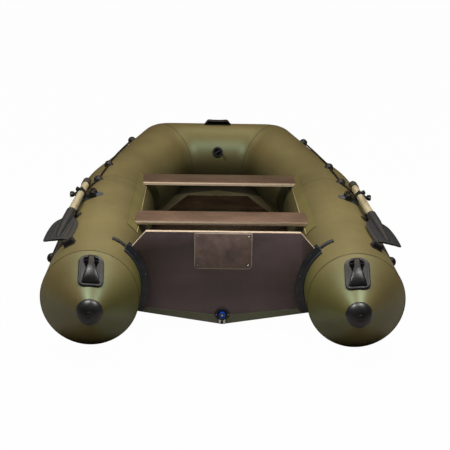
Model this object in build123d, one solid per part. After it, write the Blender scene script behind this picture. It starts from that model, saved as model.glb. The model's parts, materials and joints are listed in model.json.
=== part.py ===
from build123d import *

import os
from math import atan2, cos, degrees, hypot, radians, sin, sqrt, tan

# Inflatable rowing and motor boat with a plywood transom, floor and seats.
# Millimetres. +Y points to the bow, +X to starboard, +Z up. The origin is on the
# floor that the boat stands on, midway between the stern caps and the bow.
PORT = -1
STARBOARD = 1
SIDES = {"port": PORT, "starboard": STARBOARD}

# Overall sizes
LENGTH = 2930.0
BEAM = 1480.0
TUBE_R = 200.0
FIT = 0.3  # gap left where one piece lies on another
RUNNING_FIT = 0.05  # radial gap round a pin
SLIDING_GAP = 0.6

# Stern cones
CONE_LENGTH = 280.0
CONE_TIP_R = 49.0
CONE_TIP_INSET = 26.0
CONE_TIP_RAISE = 39.0
CONE_BULGE = 9.0
CAP_R = 52.0
CAP_RIM = 8.0
CAP_DOME = 27.0

# Bow
KNEE_TO_BOW = 786.0
SHOULDER_TO_BOW = 510.0
SHOULDER_INSET = 67.0
SHOULDER_RAISE = 5.0
CORNER_X = 305.0
BOW_RAISE = 74.0

# Transom
SEAM_BEHIND_TRANSOM = 178.0
TRANSOM_T = 25.0
TRANSOM_TOP = 431.0
TRANSOM_TOP_HALF = 322.0
TRANSOM_CHAMFER_SLOPE = 49.0
PLATE_WIDTH = 240.0
PLATE_HEIGHT = 154.0
PLATE_T = 4.0
PLATE_CORNER_R = 18.0
PLATE_BELOW_TOP = 4.0
HOLDER_T = 6.0
HOLDER_BACK = 24.0  # how far the holder's base reaches behind and ahead of the board
HOLDER_AHEAD = 38.0
HOLDER_LOW = -33.0
LIP_T = 5.0
LIP_HEIGHT = 26.0
LIP_HIGH = 50.0
TONGUE_HIGH = 68.0
TONGUE_WIDTH = 28.0
TONGUE_LAP = 3.0
BAND_T = 2.0
BAND_HEIGHT = 36.0
BAND_END_GAP = 2.0
DRAIN_R = 31.0
DRAIN_GAP = 10.0  # from the valve's flange down to the bottom
DRAIN_T = 6.0
PLUG_R = 15.0
PLUG_T = 9.0

# Bottom, keel and floor
SKIN_T = 3.0
SKIN_ANGLE = 35.0  # where the bottom meets a tube, below its inner side
SKIN_SEAT = 10.0  # the bottom is cut back to the tubes from this far inside them
KEEL_LINE = 28.0
BOW_SKIN_RAISE = 107.0
FLOOR_SHARE = 0.65  # height of the floor, as a share of the tubes' radius
BOARD_T = 12.0
PROFILE_T = 2.0
PROFILE_WEB = 3.0
PROFILE_WIDTH = 40.0
BOARD_LENGTH = 398.0
BOARD_COUNT = 3
BOW_BOARD_LENGTH = 620.0
BOW_BOARD_FRONT_HALF = 172.0
FLOOR_END_GAP = 6.0
NOTCH_MARGIN = 12.0

# Seats and their rails
SEAT_T = 18.0
SEAT_WIDTH = 185.0
SEAT_REST_ANGLE = 39.7  # where the seats' undersides meet the rails, above a tube's inner side
SEAT_LAP = 13.6  # how far the seats reach past that line
REAR_SEAT_FROM_TRANSOM = 474.0
FRONT_SEAT_FROM_TRANSOM = 1250.0
RAIL_FROM_TRANSOM = 368.0
RAIL_KNEE_GAP = 24.0
RAIL_T = 3.0
RAIL_LOW = 36.0
RAIL_HIGH = 54.0

# Oarlocks and oars. Angles are measured outboard from straight up.
LOCK_FROM_TRANSOM = 770.0
PAD_ANGLE = 22.0
PAD_HALF_ROUND = 56.0
PAD_HALF_ALONG = 44.0
PAD_T = 3.5
PIN_ANGLE = 19.0
PIN_LIFT = 15.0
PIN_R = 4.0
LUG_R = 10.5
LUG_FOOT = 16.0
LUG_T = 10.0
KNUCKLE_HALF = 17.5
ARM_T = 6.0
ARM_HALF_ALONG = 15.0
DISC_R = 17.0
DISC_T = 6.0
OAR_ANGLE = 32.0
OAR_LIFT = 38.0
SWIVEL_TILT = 39.0
OAR_YAW = 3.4  # the stowed oars run outboard by this much on their way aft
SHAFT_R = 17.5
SHAFT_WALL = 2.0
COLLAR_WIDTH = 40.0
COLLAR_ALONG = 38.0
COLLAR_CORNER_R = 7.0
BOLT_R = 5.0
NUT_R = 11.0
NUT_T = 9.0
WING_SPAN = 40.0
WING_T = 6.0
CLAMP_SCREW_R = 6.0
CLAMP_SCREW_LENGTH = 22.0
CLAMP_GRIP_R = 8.0
CLAMP_GRIP_SPAN = 30.0
OAR_HANDLE = 200.0  # oarlock to the end of the shaft
GRIP_LENGTH = 60.0
GRIP_WALL = 2.5
FERRULE_FROM_LOCK = 308.0
FERRULE_R = 22.0
FERRULE_LENGTH = 120.0
SHAFT_IN_FERRULE = 60.0
BLADE_LENGTH = 292.0
BLADE_HALF = 62.0
BLADE_T = 5.0
SPINE_END_R = 8.0
SPINE_SHORT = 34.0
BLADE_CORNER_R = 12.0
# Half widths of the blade along its length, from its neck, as shares of both.
BLADE_OUTLINE = [(0.73, 0.13), (0.97, 0.36), (1.0, 0.6), (0.93, 1.0)]
BLADE_NECK = 0.7  # where the blade starts, as a share of the ferrule
BLADE_TWIST = {PORT: 6.0, STARBOARD: 13.5}
CLIP_FROM_TRANSOM = 481.0
CLIP_ALONG = 26.0
CLIP_WALL = 5.0
CLIP_POST = 15.0
REST_FROM_TRANSOM = -15.0
REST_ANGLE = 28.0
REST_LIFT = 20.0
CLIP_PAD_T = 3.0
CLIP_PAD_ALONG = 60.0
CLIP_PAD_ROUND = 52.0
CLIP_PAD_CORNER_R = 14.0
CLIP_LOW = 173.0  # the saddle's ends, turning from outboard over the top
CLIP_HIGH = 240.0
CLIP_GAP = 1.5  # radial gap between the saddle and the shaft
CLIP_WAY_OUT = 60.0

# Lifeline and its guides
ROPE_R = 4.5
ROPE_LIFT = 6.2
GUIDE_PAD_ALONG = 54.0
GUIDE_PAD_ROUND = 42.0
GUIDE_PAD_T = 1.2
GUIDE_ALONG = 34.0
GUIDE_HALF = 18.0
GUIDE_CORNER_R = 13.0
GUIDE_LIFT = 22.0
GUIDE_BORE_GAP = 1.2
ROPE_BEND_R = 60.0

# Stern handles
HANDLE_WIDTH = 98.0
HANDLE_CORNER_R = 28.0
HANDLE_TURN = 3.0  # how far the handle sits inboard of the cone's top
HANDLE_START = 0.15
HANDLE_END = 0.78
HANDLE_BASE_T = 5.0
HANDLE_RIM_T = 9.0
HANDLE_RIM = 11.0
GRIP_WIDTH = 38.0
GRIP_RISE = 36.0
GRIP_T = 8.0
GRIP_END = 12.0
GRIP_SLOPE = 18.0
GRIP_FOOT = 10.0  # length of each of the grip's feet along the base
GRIP_BEND = 4.0

# Bow handle, valves and towing eye
STRAP_HALF = 75.0
STRAP_TOP_HALF = 56.0
STRAP_RISE = 23.0
STRAP_T = 4.0
STRAP_FOOT = 7.0
STRAP_WIDTH = 60.0
STRAP_PAD_HALF = 78.0
STRAP_PAD_ANGLE = 9.0
STRAP_PAD_T = 3.0
VALVE_R = 31.0
VALVE_T = 6.0
VALVE_CAP_R = 22.0
VALVE_CAP_T = 9.0
VALVE_SEAT = 4.0
BOW_VALVE_ANGLE = 20.0
SIDE_VALVE_ANGLE = 25.0
SIDE_VALVE_FROM_TRANSOM = 210.0
EYE_PAD_R = 45.0
EYE_R = 20.0
EYE_WIRE_R = 4.0
EYE_ANGLE = -35.0
EYE_PAD_HALF_ANGLE = 20.0

# Places worked out from the sizes
TUBE_X = BEAM / 2 - TUBE_R
STERN_Y = -LENGTH / 2
TIP_Y = STERN_Y + CAP_RIM + CAP_DOME
SEAM_Y = TIP_Y + CONE_LENGTH
TRANSOM_Y = SEAM_Y + SEAM_BEHIND_TRANSOM
TRANSOM_FRONT = TRANSOM_Y + TRANSOM_T
BOW_Y = LENGTH / 2 - TUBE_R
KNEE_Y = BOW_Y - KNEE_TO_BOW
SHOULDER_Y = BOW_Y - SHOULDER_TO_BOW
BOW_Z = TUBE_R + BOW_RAISE
SHOULDER_X = TUBE_X - SHOULDER_INSET
SHOULDER_Z = TUBE_R + SHOULDER_RAISE
FLOOR_TOP = FLOOR_SHARE * TUBE_R
SEAT_ROUND_R = TUBE_R + FIT + RAIL_T + FIT
SEAT_BOTTOM = TUBE_R + SEAT_ROUND_R * sin(radians(SEAT_REST_ANGLE))
SEAT_HALF = TUBE_X - SEAT_ROUND_R * cos(radians(SEAT_REST_ANGLE)) + SEAT_LAP
CUT_SPARE = 1.0  # how far a cutting solid reaches past the face that it cuts


# Shared geometry -----------------------------------------------------------

def slab(face, y_low, y_high):
    """A face drawn as (x, z), thickened from y_low to y_high."""
    return extrude(Plane.XZ.offset(-y_high) * face, amount=y_high - y_low)


def box_between(low, high):
    """A box from its low corner to its high corner."""
    size = [b - a for a, b in zip(low, high)]
    centre = [(a + b) / 2 for a, b in zip(low, high)]
    return Pos(*centre) * Box(*size)


def rod(start, end, radius):
    """A round bar from start to end."""
    along = Vector(*end) - Vector(*start)
    place = Plane(origin=Vector(*start), z_dir=along)
    return Solid.make_cylinder(radius, along.length, place)


def inboard_angle(side, angle):
    """Turns an angle above a tube's inner side into one from +X towards +Z."""
    return 180 - angle if side == STARBOARD else angle


def around(centre, radius, angle):
    """The point (x, z) at a radius and an angle from +X towards +Z."""
    return (centre[0] + radius * cos(radians(angle)), centre[1] + radius * sin(radians(angle)))


def ring_sector(centre, inner, outer, start, end):
    """A flat ring sector, drawn as (x, z)."""
    middle = (start + end) / 2
    outside = ThreePointArc(*(around(centre, outer, angle) for angle in (start, middle, end)))
    inside = ThreePointArc(*(around(centre, inner, angle) for angle in (end, middle, start)))
    edges = [Line(inside @ 1, outside @ 0), outside, Line(outside @ 1, inside @ 0), inside]
    return make_face(edges)


def outward(side, angle):
    """The direction at an angle outboard from straight up."""
    return Vector(side * sin(radians(angle)), 0, cos(radians(angle)))


def tangent(side, angle):
    """The outboard direction square to outward()."""
    return Vector(side * cos(radians(angle)), 0, -sin(radians(angle)))


def tube_point(side, y, angle, lift):
    """A point lifted off the outer face of a side tube, at an angle outboard from its crown."""
    start, end = Vector(side * TUBE_X, KNEE_Y, TUBE_R), Vector(side * SHOULDER_X, SHOULDER_Y, SHOULDER_Z)
    if y <= KNEE_Y:
        centre = Vector(side * TUBE_X, y, TUBE_R)
        run = Vector(0, 1, 0)
    else:
        if y > SHOULDER_Y:
            start, end = end, Vector(side * CORNER_X, BOW_Y, BOW_Z)
        run = (end - start).normalized()
        centre = start + run * ((y - start.Y) / run.Y)
    up = (Vector(0, 0, 1) - run * run.Z).normalized()
    across = run.cross(up) * side
    return centre + (up * cos(radians(angle)) + across * sin(radians(angle))) * (TUBE_R + lift)


def skin_top(x):
    """Height of the upper face of the bottom skin behind the knees."""
    edge_x = TUBE_X - TUBE_R * cos(radians(SKIN_ANGLE))
    edge_z = TUBE_R - TUBE_R * sin(radians(SKIN_ANGLE))
    return KEEL_LINE + SKIN_T + (edge_z - KEEL_LINE) * abs(x) / edge_x


def shell_on_tube(side, thickness, y_low, y_high):
    """A sleeve of even thickness round the straight part of a side tube."""
    centre = Pos(side * TUBE_X, TUBE_R)
    ring = centre * (Circle(TUBE_R + FIT + thickness) - Circle(TUBE_R + FIT))
    return slab(ring, y_low, y_high)


# Tubes and cones -----------------------------------------------------------

def tube_run(start, end, start_cut, end_cut):
    """A round tube from start to end, its ends cut square to the two directions."""
    along = (end - start).normalized()
    spare = TUBE_R * 1.5
    length = (end - start).length + 2 * spare
    run = Solid.make_cylinder(TUBE_R, length, Plane(origin=start - along * spare, z_dir=along))
    run = run.split(Plane(origin=start, z_dir=start_cut), keep=Keep.TOP)
    return run.split(Plane(origin=end, z_dir=end_cut), keep=Keep.BOTTOM)


def side_path(side):
    """Centre line of a side tube, from the cone seam to the bow corner."""
    return [
        Vector(side * TUBE_X, SEAM_Y, TUBE_R),
        Vector(side * TUBE_X, KNEE_Y, TUBE_R),
        Vector(side * SHOULDER_X, SHOULDER_Y, SHOULDER_Z),
        Vector(side * CORNER_X, BOW_Y, BOW_Z),
    ]


def corner_cut(side):
    """Direction square to the mitre between a side tube and the bow tube."""
    path = side_path(side)
    along = (path[3] - path[2]).normalized()
    return (along + Vector(-side, 0, 0)).normalized()


def side_tube(side):
    path = side_path(side)
    runs = [(b - a).normalized() for a, b in zip(path, path[1:])]
    cuts = [Vector(0, 1, 0), runs[0] + runs[1], runs[1] + runs[2], corner_cut(side)]
    tube = tube_run(path[0], path[1], cuts[0], cuts[1])
    for index in (1, 2):
        tube = tube.fuse(tube_run(path[index], path[index + 1], cuts[index], cuts[index + 1]))
    return tube


def bow_tube():
    port_end = Vector(-CORNER_X, BOW_Y, BOW_Z)
    starboard_end = Vector(CORNER_X, BOW_Y, BOW_Z)
    return tube_run(port_end, starboard_end, corner_cut(PORT), -corner_cut(STARBOARD))


def cone_centre(side, share):
    """Centre of a cone's section, at a share of the way from its seam to its tip."""
    x = side * (TUBE_X - CONE_TIP_INSET * share)
    return Vector(x, SEAM_Y - CONE_LENGTH * share, TUBE_R + CONE_TIP_RAISE * share)


def cone_radius(share):
    bulge = 4 * CONE_BULGE * share * (1 - share)
    return TUBE_R + (CONE_TIP_R - TUBE_R) * share + bulge


def stern_cone(side, grow=0.0):
    sections = []
    for share in (0.0, 0.25, 0.5, 0.75, 1.0):
        place = Plane(origin=cone_centre(side, share), x_dir=(1, 0, 0), z_dir=(0, -1, 0))
        sections.append(Wire.make_circle(cone_radius(share) + grow, place))
    return Solid.make_loft(sections)


def cone_cap(side):
    """A rubber cap: a short rim under a dome."""
    rim = Plane(origin=cone_centre(side, 1.0), x_dir=(1, 0, 0), z_dir=(0, -1, 0))
    dome_r = (CAP_R ** 2 + CAP_DOME ** 2) / (2 * CAP_DOME)
    half_angle = degrees(atan2(CAP_R, dome_r - CAP_DOME)) / 2
    drop = dome_r * (1 - cos(radians(half_angle)))
    middle = (dome_r * sin(radians(half_angle)), CAP_RIM + CAP_DOME - drop)
    profile = make_face([
        Line((0, 0), (CAP_R, 0)),
        Line((CAP_R, 0), (CAP_R, CAP_RIM)),
        ThreePointArc((CAP_R, CAP_RIM), middle, (0, CAP_RIM + CAP_DOME)),
        Line((0, CAP_RIM + CAP_DOME), (0, 0)),
    ])
    cap = revolve(Plane.XZ * profile, Axis.Z)
    return rim * cap


def stern_handle(side):
    """A rubber handle: a rimmed base on the cone's upper side and a raised grip."""
    ends = []
    for share in (HANDLE_START, HANDLE_END):
        ends.append(cone_centre(side, share) + outward(side, -HANDLE_TURN) * cone_radius(share))
    along = (ends[1] - ends[0]).normalized()
    across = tangent(side, -HANDLE_TURN) * side
    up = along.cross(across).normalized()
    middle = (ends[0] + ends[1]) * 0.5
    length = (ends[1] - ends[0]).length
    place = Plane(origin=middle, x_dir=across, z_dir=up)
    reach = TUBE_R / 3
    outline = RectangleRounded(HANDLE_WIDTH, length, HANDLE_CORNER_R)
    inner = RectangleRounded(
        HANDLE_WIDTH - 2 * HANDLE_RIM, length - 2 * HANDLE_RIM, HANDLE_CORNER_R - HANDLE_RIM
    )
    prism = place * extrude(Pos(0, 0, -reach) * outline, amount=2 * reach)
    frame = place * extrude(Pos(0, 0, -reach) * (outline - inner), amount=2 * reach)
    seat = stern_cone(side, FIT)
    base = (stern_cone(side, FIT + HANDLE_BASE_T) - seat) & prism
    rim = (stern_cone(side, FIT + HANDLE_RIM_T) - seat) & frame
    foot = length / 2 - GRIP_END
    top = foot - GRIP_SLOPE
    outer_points = [(-foot, 0), (-top, GRIP_RISE), (top, GRIP_RISE), (foot, 0)]
    inner_foot, inner_top = foot - GRIP_FOOT, top - GRIP_BEND
    inner_points = [(-inner_foot, 0), (-inner_top, GRIP_RISE - GRIP_T)]
    inner_points += [(inner_top, GRIP_RISE - GRIP_T), (inner_foot, 0)]
    outside = make_face(Polyline(*outer_points, close=True))
    inside = make_face(Polyline(*inner_points, close=True))
    # The side view of the grip is drawn as (along the cone, away from it).
    side_view = Plane(origin=middle, x_dir=place.y_dir, z_dir=across)
    grip = extrude(side_view * (outside - inside), amount=GRIP_WIDTH / 2, both=True)
    grip = grip - seat
    return base + rim + grip


# Transom -------------------------------------------------------------------

def transom_board():
    """Plywood board between the tubes, with a chamfered top and a shallow V bottom."""
    drop = tan(radians(TRANSOM_CHAMFER_SLOPE)) * (TUBE_X - TRANSOM_TOP_HALF)
    right = [
        (TRANSOM_TOP_HALF, TRANSOM_TOP),
        (TUBE_X, TRANSOM_TOP - drop),
        (TUBE_X, skin_top(TUBE_X) + FIT),
        (0, skin_top(0) + FIT),
    ]
    left = [(-x, z) for x, z in reversed(right[:-1])]
    face = make_face(Polyline(*right, *left, close=True))
    for side in SIDES.values():
        face = face - Pos(side * TUBE_X, TUBE_R) * Circle(TUBE_R + FIT + HOLDER_T + FIT)
    return slab(face, TRANSOM_Y, TRANSOM_FRONT)


def motor_plate(y_low, y_high):
    """A plate that takes a motor's clamp, with two rounded lower corners."""
    face = Rectangle(PLATE_WIDTH, PLATE_HEIGHT)
    lower = face.vertices().sort_by(Axis.Y)[:2]
    face = fillet(lower, PLATE_CORNER_R)
    return slab(Pos(0, TRANSOM_TOP - PLATE_BELOW_TOP - PLATE_HEIGHT / 2) * face, y_low, y_high)


def transom_holder(side):
    """Rubber holder: a base on the tube and two lips that grip the board's edge."""
    centre = (side * TUBE_X, TUBE_R)
    inner = TUBE_R + FIT
    low, lip_high = inboard_angle(side, HOLDER_LOW), inboard_angle(side, LIP_HIGH)
    base = ring_sector(centre, inner, inner + HOLDER_T, low, lip_high)
    y_low, y_high = TRANSOM_Y - HOLDER_BACK, TRANSOM_FRONT + HOLDER_AHEAD
    holder = slab(base, y_low, y_high)
    # The base runs on over the tube as a narrow tongue, ahead of the board.
    start, end = inboard_angle(side, LIP_HIGH - TONGUE_LAP), inboard_angle(side, TONGUE_HIGH)
    tongue = ring_sector(centre, inner, inner + HOLDER_T, start, end)
    holder = holder + slab(tongue, y_high - TONGUE_WIDTH, y_high)
    # A lip starts inside the base so that the two are one piece.
    lip_face = ring_sector(centre, inner + HOLDER_T / 2, inner + HOLDER_T + LIP_HEIGHT, low, lip_high)
    for lip_y in (TRANSOM_Y - FIT - LIP_T, TRANSOM_FRONT + FIT):
        holder = holder + slab(lip_face, lip_y, lip_y + LIP_T)
    floor_line = make_face(Polyline(
        (0, skin_top(0) + FIT), (TUBE_X, skin_top(TUBE_X) + FIT), (TUBE_X, -TUBE_R), (0, -TUBE_R), close=True
    ))
    if side == PORT:
        floor_line = mirror(floor_line, Plane.YZ)
    return holder - slab(floor_line, y_low - CUT_SPARE, y_high + CUT_SPARE)


def band_half():
    """Half the width of the band, up to the holders' lips."""
    lip_r = TUBE_R + FIT + HOLDER_T + LIP_HEIGHT
    drop = TUBE_R - skin_top(TUBE_X - TUBE_R)
    return TUBE_X - sqrt(lip_r ** 2 - drop ** 2) - BAND_END_GAP


def bottom_band():
    """Reinforcing strip along the lower edge of the transom's outer face."""
    half_width = band_half()
    bottom = skin_top(0) + FIT
    end = skin_top(half_width) + FIT
    points = [(0, bottom), (half_width, end), (half_width - BAND_HEIGHT / 2, end + BAND_HEIGHT / 2)]
    points += [(0, bottom + BAND_HEIGHT)]
    half = make_face(Polyline(*points, close=True))
    return slab(half + mirror(half, Plane.YZ), TRANSOM_Y - BAND_T, TRANSOM_Y)


def drain_height():
    return skin_top(0) + FIT + DRAIN_GAP + DRAIN_R


def drain_valve():
    outer = TRANSOM_Y - BAND_T - DRAIN_T
    return slab(Pos(0, drain_height()) * Circle(DRAIN_R), outer, outer + DRAIN_T)


def drain_plug():
    outer = TRANSOM_Y - BAND_T - DRAIN_T
    return slab(Pos(0, drain_height()) * Circle(PLUG_R), outer - PLUG_T, outer)


# Bottom, keel and floor ------------------------------------------------------

def skin_section(y, half_width, edge_z, keel_z):
    points = [
        (-half_width, y, edge_z), (0, y, keel_z), (half_width, y, edge_z),
        (half_width, y, edge_z + SKIN_T), (0, y, keel_z + SKIN_T), (-half_width, y, edge_z + SKIN_T),
    ]
    return Wire.make_polygon([Vector(*point) for point in points], close=True)


def bottom_skin(tubes):
    """Shallow V bottom stretched between the tubes, rising to the bow tube."""
    rise = sin(radians(SKIN_ANGLE)) * TUBE_R
    spread = cos(radians(SKIN_ANGLE)) * TUBE_R - SKIN_SEAT
    slope = (TUBE_R - rise - KEEL_LINE) / (TUBE_X - spread - SKIN_SEAT)
    stations = [
        (TRANSOM_Y, TUBE_X - spread, KEEL_LINE + slope * (TUBE_X - spread), KEEL_LINE),
        (KNEE_Y, TUBE_X - spread, KEEL_LINE + slope * (TUBE_X - spread), KEEL_LINE),
        (SHOULDER_Y, SHOULDER_X - spread, SHOULDER_Z - rise, KEEL_LINE),
        (BOW_Y - spread, CORNER_X - spread / 2, BOW_Z - rise, KEEL_LINE + BOW_SKIN_RAISE),
    ]
    sections = [skin_section(*station) for station in stations]
    skin = Solid.make_loft(sections, ruled=True)
    for tube in tubes:
        skin = skin.cut(tube)
    return skin.solids().sort_by(SortBy.VOLUME)[-1]


def keel():
    """Inflatable keel between the bottom and the floor."""
    top = FLOOR_TOP - BOARD_T - PROFILE_T - FIT
    slope = atan2(skin_top(TUBE_X) - skin_top(0), TUBE_X)
    radius = ((top - skin_top(0)) * cos(slope) - FIT) / (1 + cos(slope))
    start, end = TRANSOM_FRONT + FLOOR_END_GAP, SHOULDER_Y
    return rod((0, start, top - radius), (0, end, top - radius), radius)


def board_half():
    """Half the width of the floor where it fits between the tubes."""
    drop = TUBE_R - FLOOR_TOP
    return TUBE_X - sqrt(TUBE_R ** 2 - drop ** 2) - FIT


def floor_start():
    return TRANSOM_FRONT + FIT + LIP_T + FLOOR_END_GAP


def floor_joint(index):
    """Middle of the joint profile in front of a board."""
    return floor_start() + (index + 1) * BOARD_LENGTH


def floor_board(index):
    clear = PROFILE_WEB / 2 + FIT
    y_low = floor_start() if index == 0 else floor_joint(index - 1) + clear
    y_high = floor_joint(index) - clear
    half = board_half()
    board = box_between((-half, y_low, FLOOR_TOP - BOARD_T), (half, y_high, FLOOR_TOP))
    if index == 0:
        notch_y = TRANSOM_FRONT + HOLDER_AHEAD + NOTCH_MARGIN
        notch_x = half - HOLDER_T - NOTCH_MARGIN
        outside = half + CUT_SPARE
        for low, high in ((-outside, -notch_x), (notch_x, outside)):
            board = board - box_between((low, y_low - CUT_SPARE, 0), (high, notch_y, TUBE_R))
    return board


def bow_floor_board():
    """Foremost board, narrowing to the bow."""
    y_low = floor_joint(BOARD_COUNT - 1) + PROFILE_WEB / 2 + FIT
    y_high = y_low + BOW_BOARD_LENGTH
    half = board_half()
    front_half = BOW_BOARD_FRONT_HALF
    points = [(-half, y_low), (half, y_low), (front_half, y_high), (-front_half, y_high)]
    face = Pos(0, 0, FLOOR_TOP - BOARD_T) * make_face(Polyline(*points, close=True))
    return extrude(face, amount=BOARD_T)


def floor_profiles():
    """H-shaped bars that join the floor boards."""
    half = board_half() - NOTCH_MARGIN
    bars = []
    for index in range(BOARD_COUNT):
        y = floor_joint(index)
        low, high = FLOOR_TOP - BOARD_T, FLOOR_TOP
        # The web reaches into both flanges, so that the three make one bar.
        into = PROFILE_T / 2
        web = box_between((-half, y - PROFILE_WEB / 2, low - into), (half, y + PROFILE_WEB / 2, high + into))
        wing = PROFILE_WIDTH / 2
        upper = box_between((-half, y - wing, high), (half, y + wing, high + PROFILE_T))
        lower = box_between((-half, y - wing, low - PROFILE_T), (half, y + wing, low))
        bars.append(web + upper + lower)
    return Compound(children=bars)


# Seats ---------------------------------------------------------------------

def seat_rail(side):
    centre = (side * TUBE_X, TUBE_R)
    inner = TUBE_R + FIT
    low, high = inboard_angle(side, RAIL_LOW), inboard_angle(side, RAIL_HIGH)
    face = ring_sector(centre, inner, inner + RAIL_T, low, high)
    return slab(face, TRANSOM_Y + RAIL_FROM_TRANSOM, KNEE_Y - RAIL_KNEE_GAP)


def seat(y_low):
    """A plywood seat whose ends are cut to the round of the rails."""
    y_high = y_low + SEAT_WIDTH
    board = box_between((-SEAT_HALF, y_low, SEAT_BOTTOM), (SEAT_HALF, y_high, SEAT_BOTTOM + SEAT_T))
    for side in SIDES.values():
        start = (side * TUBE_X, y_low - CUT_SPARE, TUBE_R)
        end = (side * TUBE_X, y_high + CUT_SPARE, TUBE_R)
        board = board - rod(start, end, SEAT_ROUND_R)
    return board


# Oarlocks ------------------------------------------------------------------

LOCK_Y = TRANSOM_Y + LOCK_FROM_TRANSOM


def on_lock(side, angle, radius):
    """A point in the plane of the oarlock, at a radius from the tube's centre line."""
    return Vector(side * TUBE_X, LOCK_Y, TUBE_R) + outward(side, angle) * radius


def lock_pin(side):
    return on_lock(side, PIN_ANGLE, TUBE_R + PIN_LIFT)


def oar_centre(side):
    return on_lock(side, OAR_ANGLE, TUBE_R + OAR_LIFT)


def along_y(point, offset):
    return (point.X, point.Y + offset, point.Z)


def oarlock_base(side):
    """Pad on the tube with two lugs and the pin between them."""
    reach = PAD_HALF_ROUND
    place = Plane(origin=on_lock(side, PAD_ANGLE, TUBE_R), x_dir=(0, 1, 0), z_dir=outward(side, PAD_ANGLE))
    prism = place * extrude(Pos(0, 0, -reach) * Ellipse(PAD_HALF_ALONG, PAD_HALF_ROUND), amount=2 * reach)
    base = shell_on_tube(side, PAD_T, LOCK_Y - reach, LOCK_Y + reach) & prism
    pin = lock_pin(side)
    root = on_lock(side, PIN_ANGLE, TUBE_R)
    across = tangent(side, PIN_ANGLE)
    top, foot = across * LUG_R, across * LUG_FOOT
    corners = [pin + top, pin - top, root - foot, root + foot]
    face = make_face(Polyline(*((corner.X, corner.Z) for corner in corners), close=True))
    face = face + Pos(pin.X, pin.Z) * Circle(LUG_R)
    axis = Vector(side * TUBE_X, LOCK_Y, TUBE_R)
    tube = rod(along_y(axis, -reach), along_y(axis, reach), TUBE_R + FIT)
    outer = KNUCKLE_HALF + SLIDING_GAP + LUG_T
    for low in (-outer, KNUCKLE_HALF + SLIDING_GAP):
        base = base + (slab(face, LOCK_Y + low, LOCK_Y + low + LUG_T) - tube)
    return base + rod(along_y(pin, -outer), along_y(pin, outer), PIN_R)


def swivel_point(side, height):
    """A point on the swivel's axis, at a height over the centre of the shaft."""
    return oar_centre(side) + outward(side, SWIVEL_TILT) * height


def oarlock_bracket(side):
    """Arm hinged on the pin, with a disc, the swivel bolt and its wing nut."""
    pin = lock_pin(side)
    knuckle = rod(along_y(pin, -KNUCKLE_HALF), along_y(pin, KNUCKLE_HALF), LUG_R - SLIDING_GAP)
    half = COLLAR_WIDTH / 2
    disc_top = -half - FIT
    disc = rod(swivel_point(side, disc_top - DISC_T), swivel_point(side, disc_top), DISC_R)
    edge = swivel_point(side, disc_top - DISC_T / 2) - tangent(side, SWIVEL_TILT) * (DISC_R / 2)
    along = (edge - pin).normalized()
    square = Vector(-along.Z, 0, along.X) * (ARM_T / 2)
    corners = [pin + square, pin - square, edge - square, edge + square]
    face = make_face(Polyline(*((corner.X, corner.Z) for corner in corners), close=True))
    arm = slab(face, LOCK_Y - ARM_HALF_ALONG, LOCK_Y + ARM_HALF_ALONG)
    nut_low = half + FIT
    bolt = rod(swivel_point(side, disc_top - DISC_T), swivel_point(side, nut_low + NUT_T), BOLT_R)
    nut = rod(swivel_point(side, nut_low), swivel_point(side, nut_low + NUT_T), NUT_R)
    wing_place = Plane(
        origin=swivel_point(side, nut_low + NUT_T), x_dir=(0, 1, 0), z_dir=outward(side, SWIVEL_TILT)
    )
    wing = wing_place * Box(WING_SPAN, WING_T, NUT_T)
    collar_room = rod(swivel_point(side, disc_top), swivel_point(side, half), 2 * DISC_R)
    bracket = (knuckle + disc + arm) - collar_room + bolt + nut + wing
    return bracket - rod(along_y(pin, -PAD_HALF_ROUND), along_y(pin, PAD_HALF_ROUND), PIN_R + RUNNING_FIT)


# Oars ----------------------------------------------------------------------

def oar_point(side, ahead):
    """A point on the centre line of the shaft, ahead of the oarlock."""
    return along_y(oar_centre(side), ahead)


def stowed(side, shape):
    """Turn a piece of the oar about the swivel, to where the oar is stowed."""
    return shape.rotate(Axis(oar_centre(side), outward(side, SWIVEL_TILT)), side * OAR_YAW)


def stowed_point(side, ahead):
    """A point on the centre line of the stowed shaft, ahead of the oarlock."""
    turn = radians(OAR_YAW)
    along = Vector(0, ahead * cos(turn), 0)
    return oar_centre(side) + along - tangent(side, SWIVEL_TILT) * (ahead * sin(turn))


def bolt_hole(side):
    return rod(swivel_point(side, -COLLAR_WIDTH), swivel_point(side, COLLAR_WIDTH), BOLT_R + RUNNING_FIT)


def oar_shaft(side):
    front, back = OAR_HANDLE, -FERRULE_FROM_LOCK - SHAFT_IN_FERRULE
    outer = rod(oar_point(side, back), oar_point(side, front), SHAFT_R)
    bore_ends = oar_point(side, back - CUT_SPARE), oar_point(side, front + CUT_SPARE)
    inner = rod(*bore_ends, SHAFT_R - SHAFT_WALL)
    return outer - inner - bolt_hole(side)


def oar_collar(side):
    """Block on the shaft that turns on the swivel bolt, with its clamp screw."""
    place = Plane(
        origin=oar_centre(side), x_dir=tangent(side, SWIVEL_TILT), z_dir=outward(side, SWIVEL_TILT)
    )
    block = Box(COLLAR_WIDTH, COLLAR_ALONG, COLLAR_WIDTH)
    block = fillet(block.edges().filter_by(Axis.Y), COLLAR_CORNER_R)
    start = COLLAR_WIDTH / 2 - CUT_SPARE
    middle = Pos(start + CLAMP_SCREW_LENGTH / 2, 0, 0)
    screw = middle * Rot(0, 90, 0) * Cylinder(CLAMP_SCREW_R, CLAMP_SCREW_LENGTH)
    grip_place = Pos(start + CLAMP_SCREW_LENGTH, 0, 0) * Rot(90, 0, 0)
    grip = grip_place * Cylinder(CLAMP_GRIP_R, CLAMP_GRIP_SPAN)
    collar = place * (block + screw + grip)
    bore = rod(oar_point(side, -COLLAR_ALONG), oar_point(side, COLLAR_ALONG), SHAFT_R + RUNNING_FIT)
    return collar - bore - bolt_hole(side)


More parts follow.
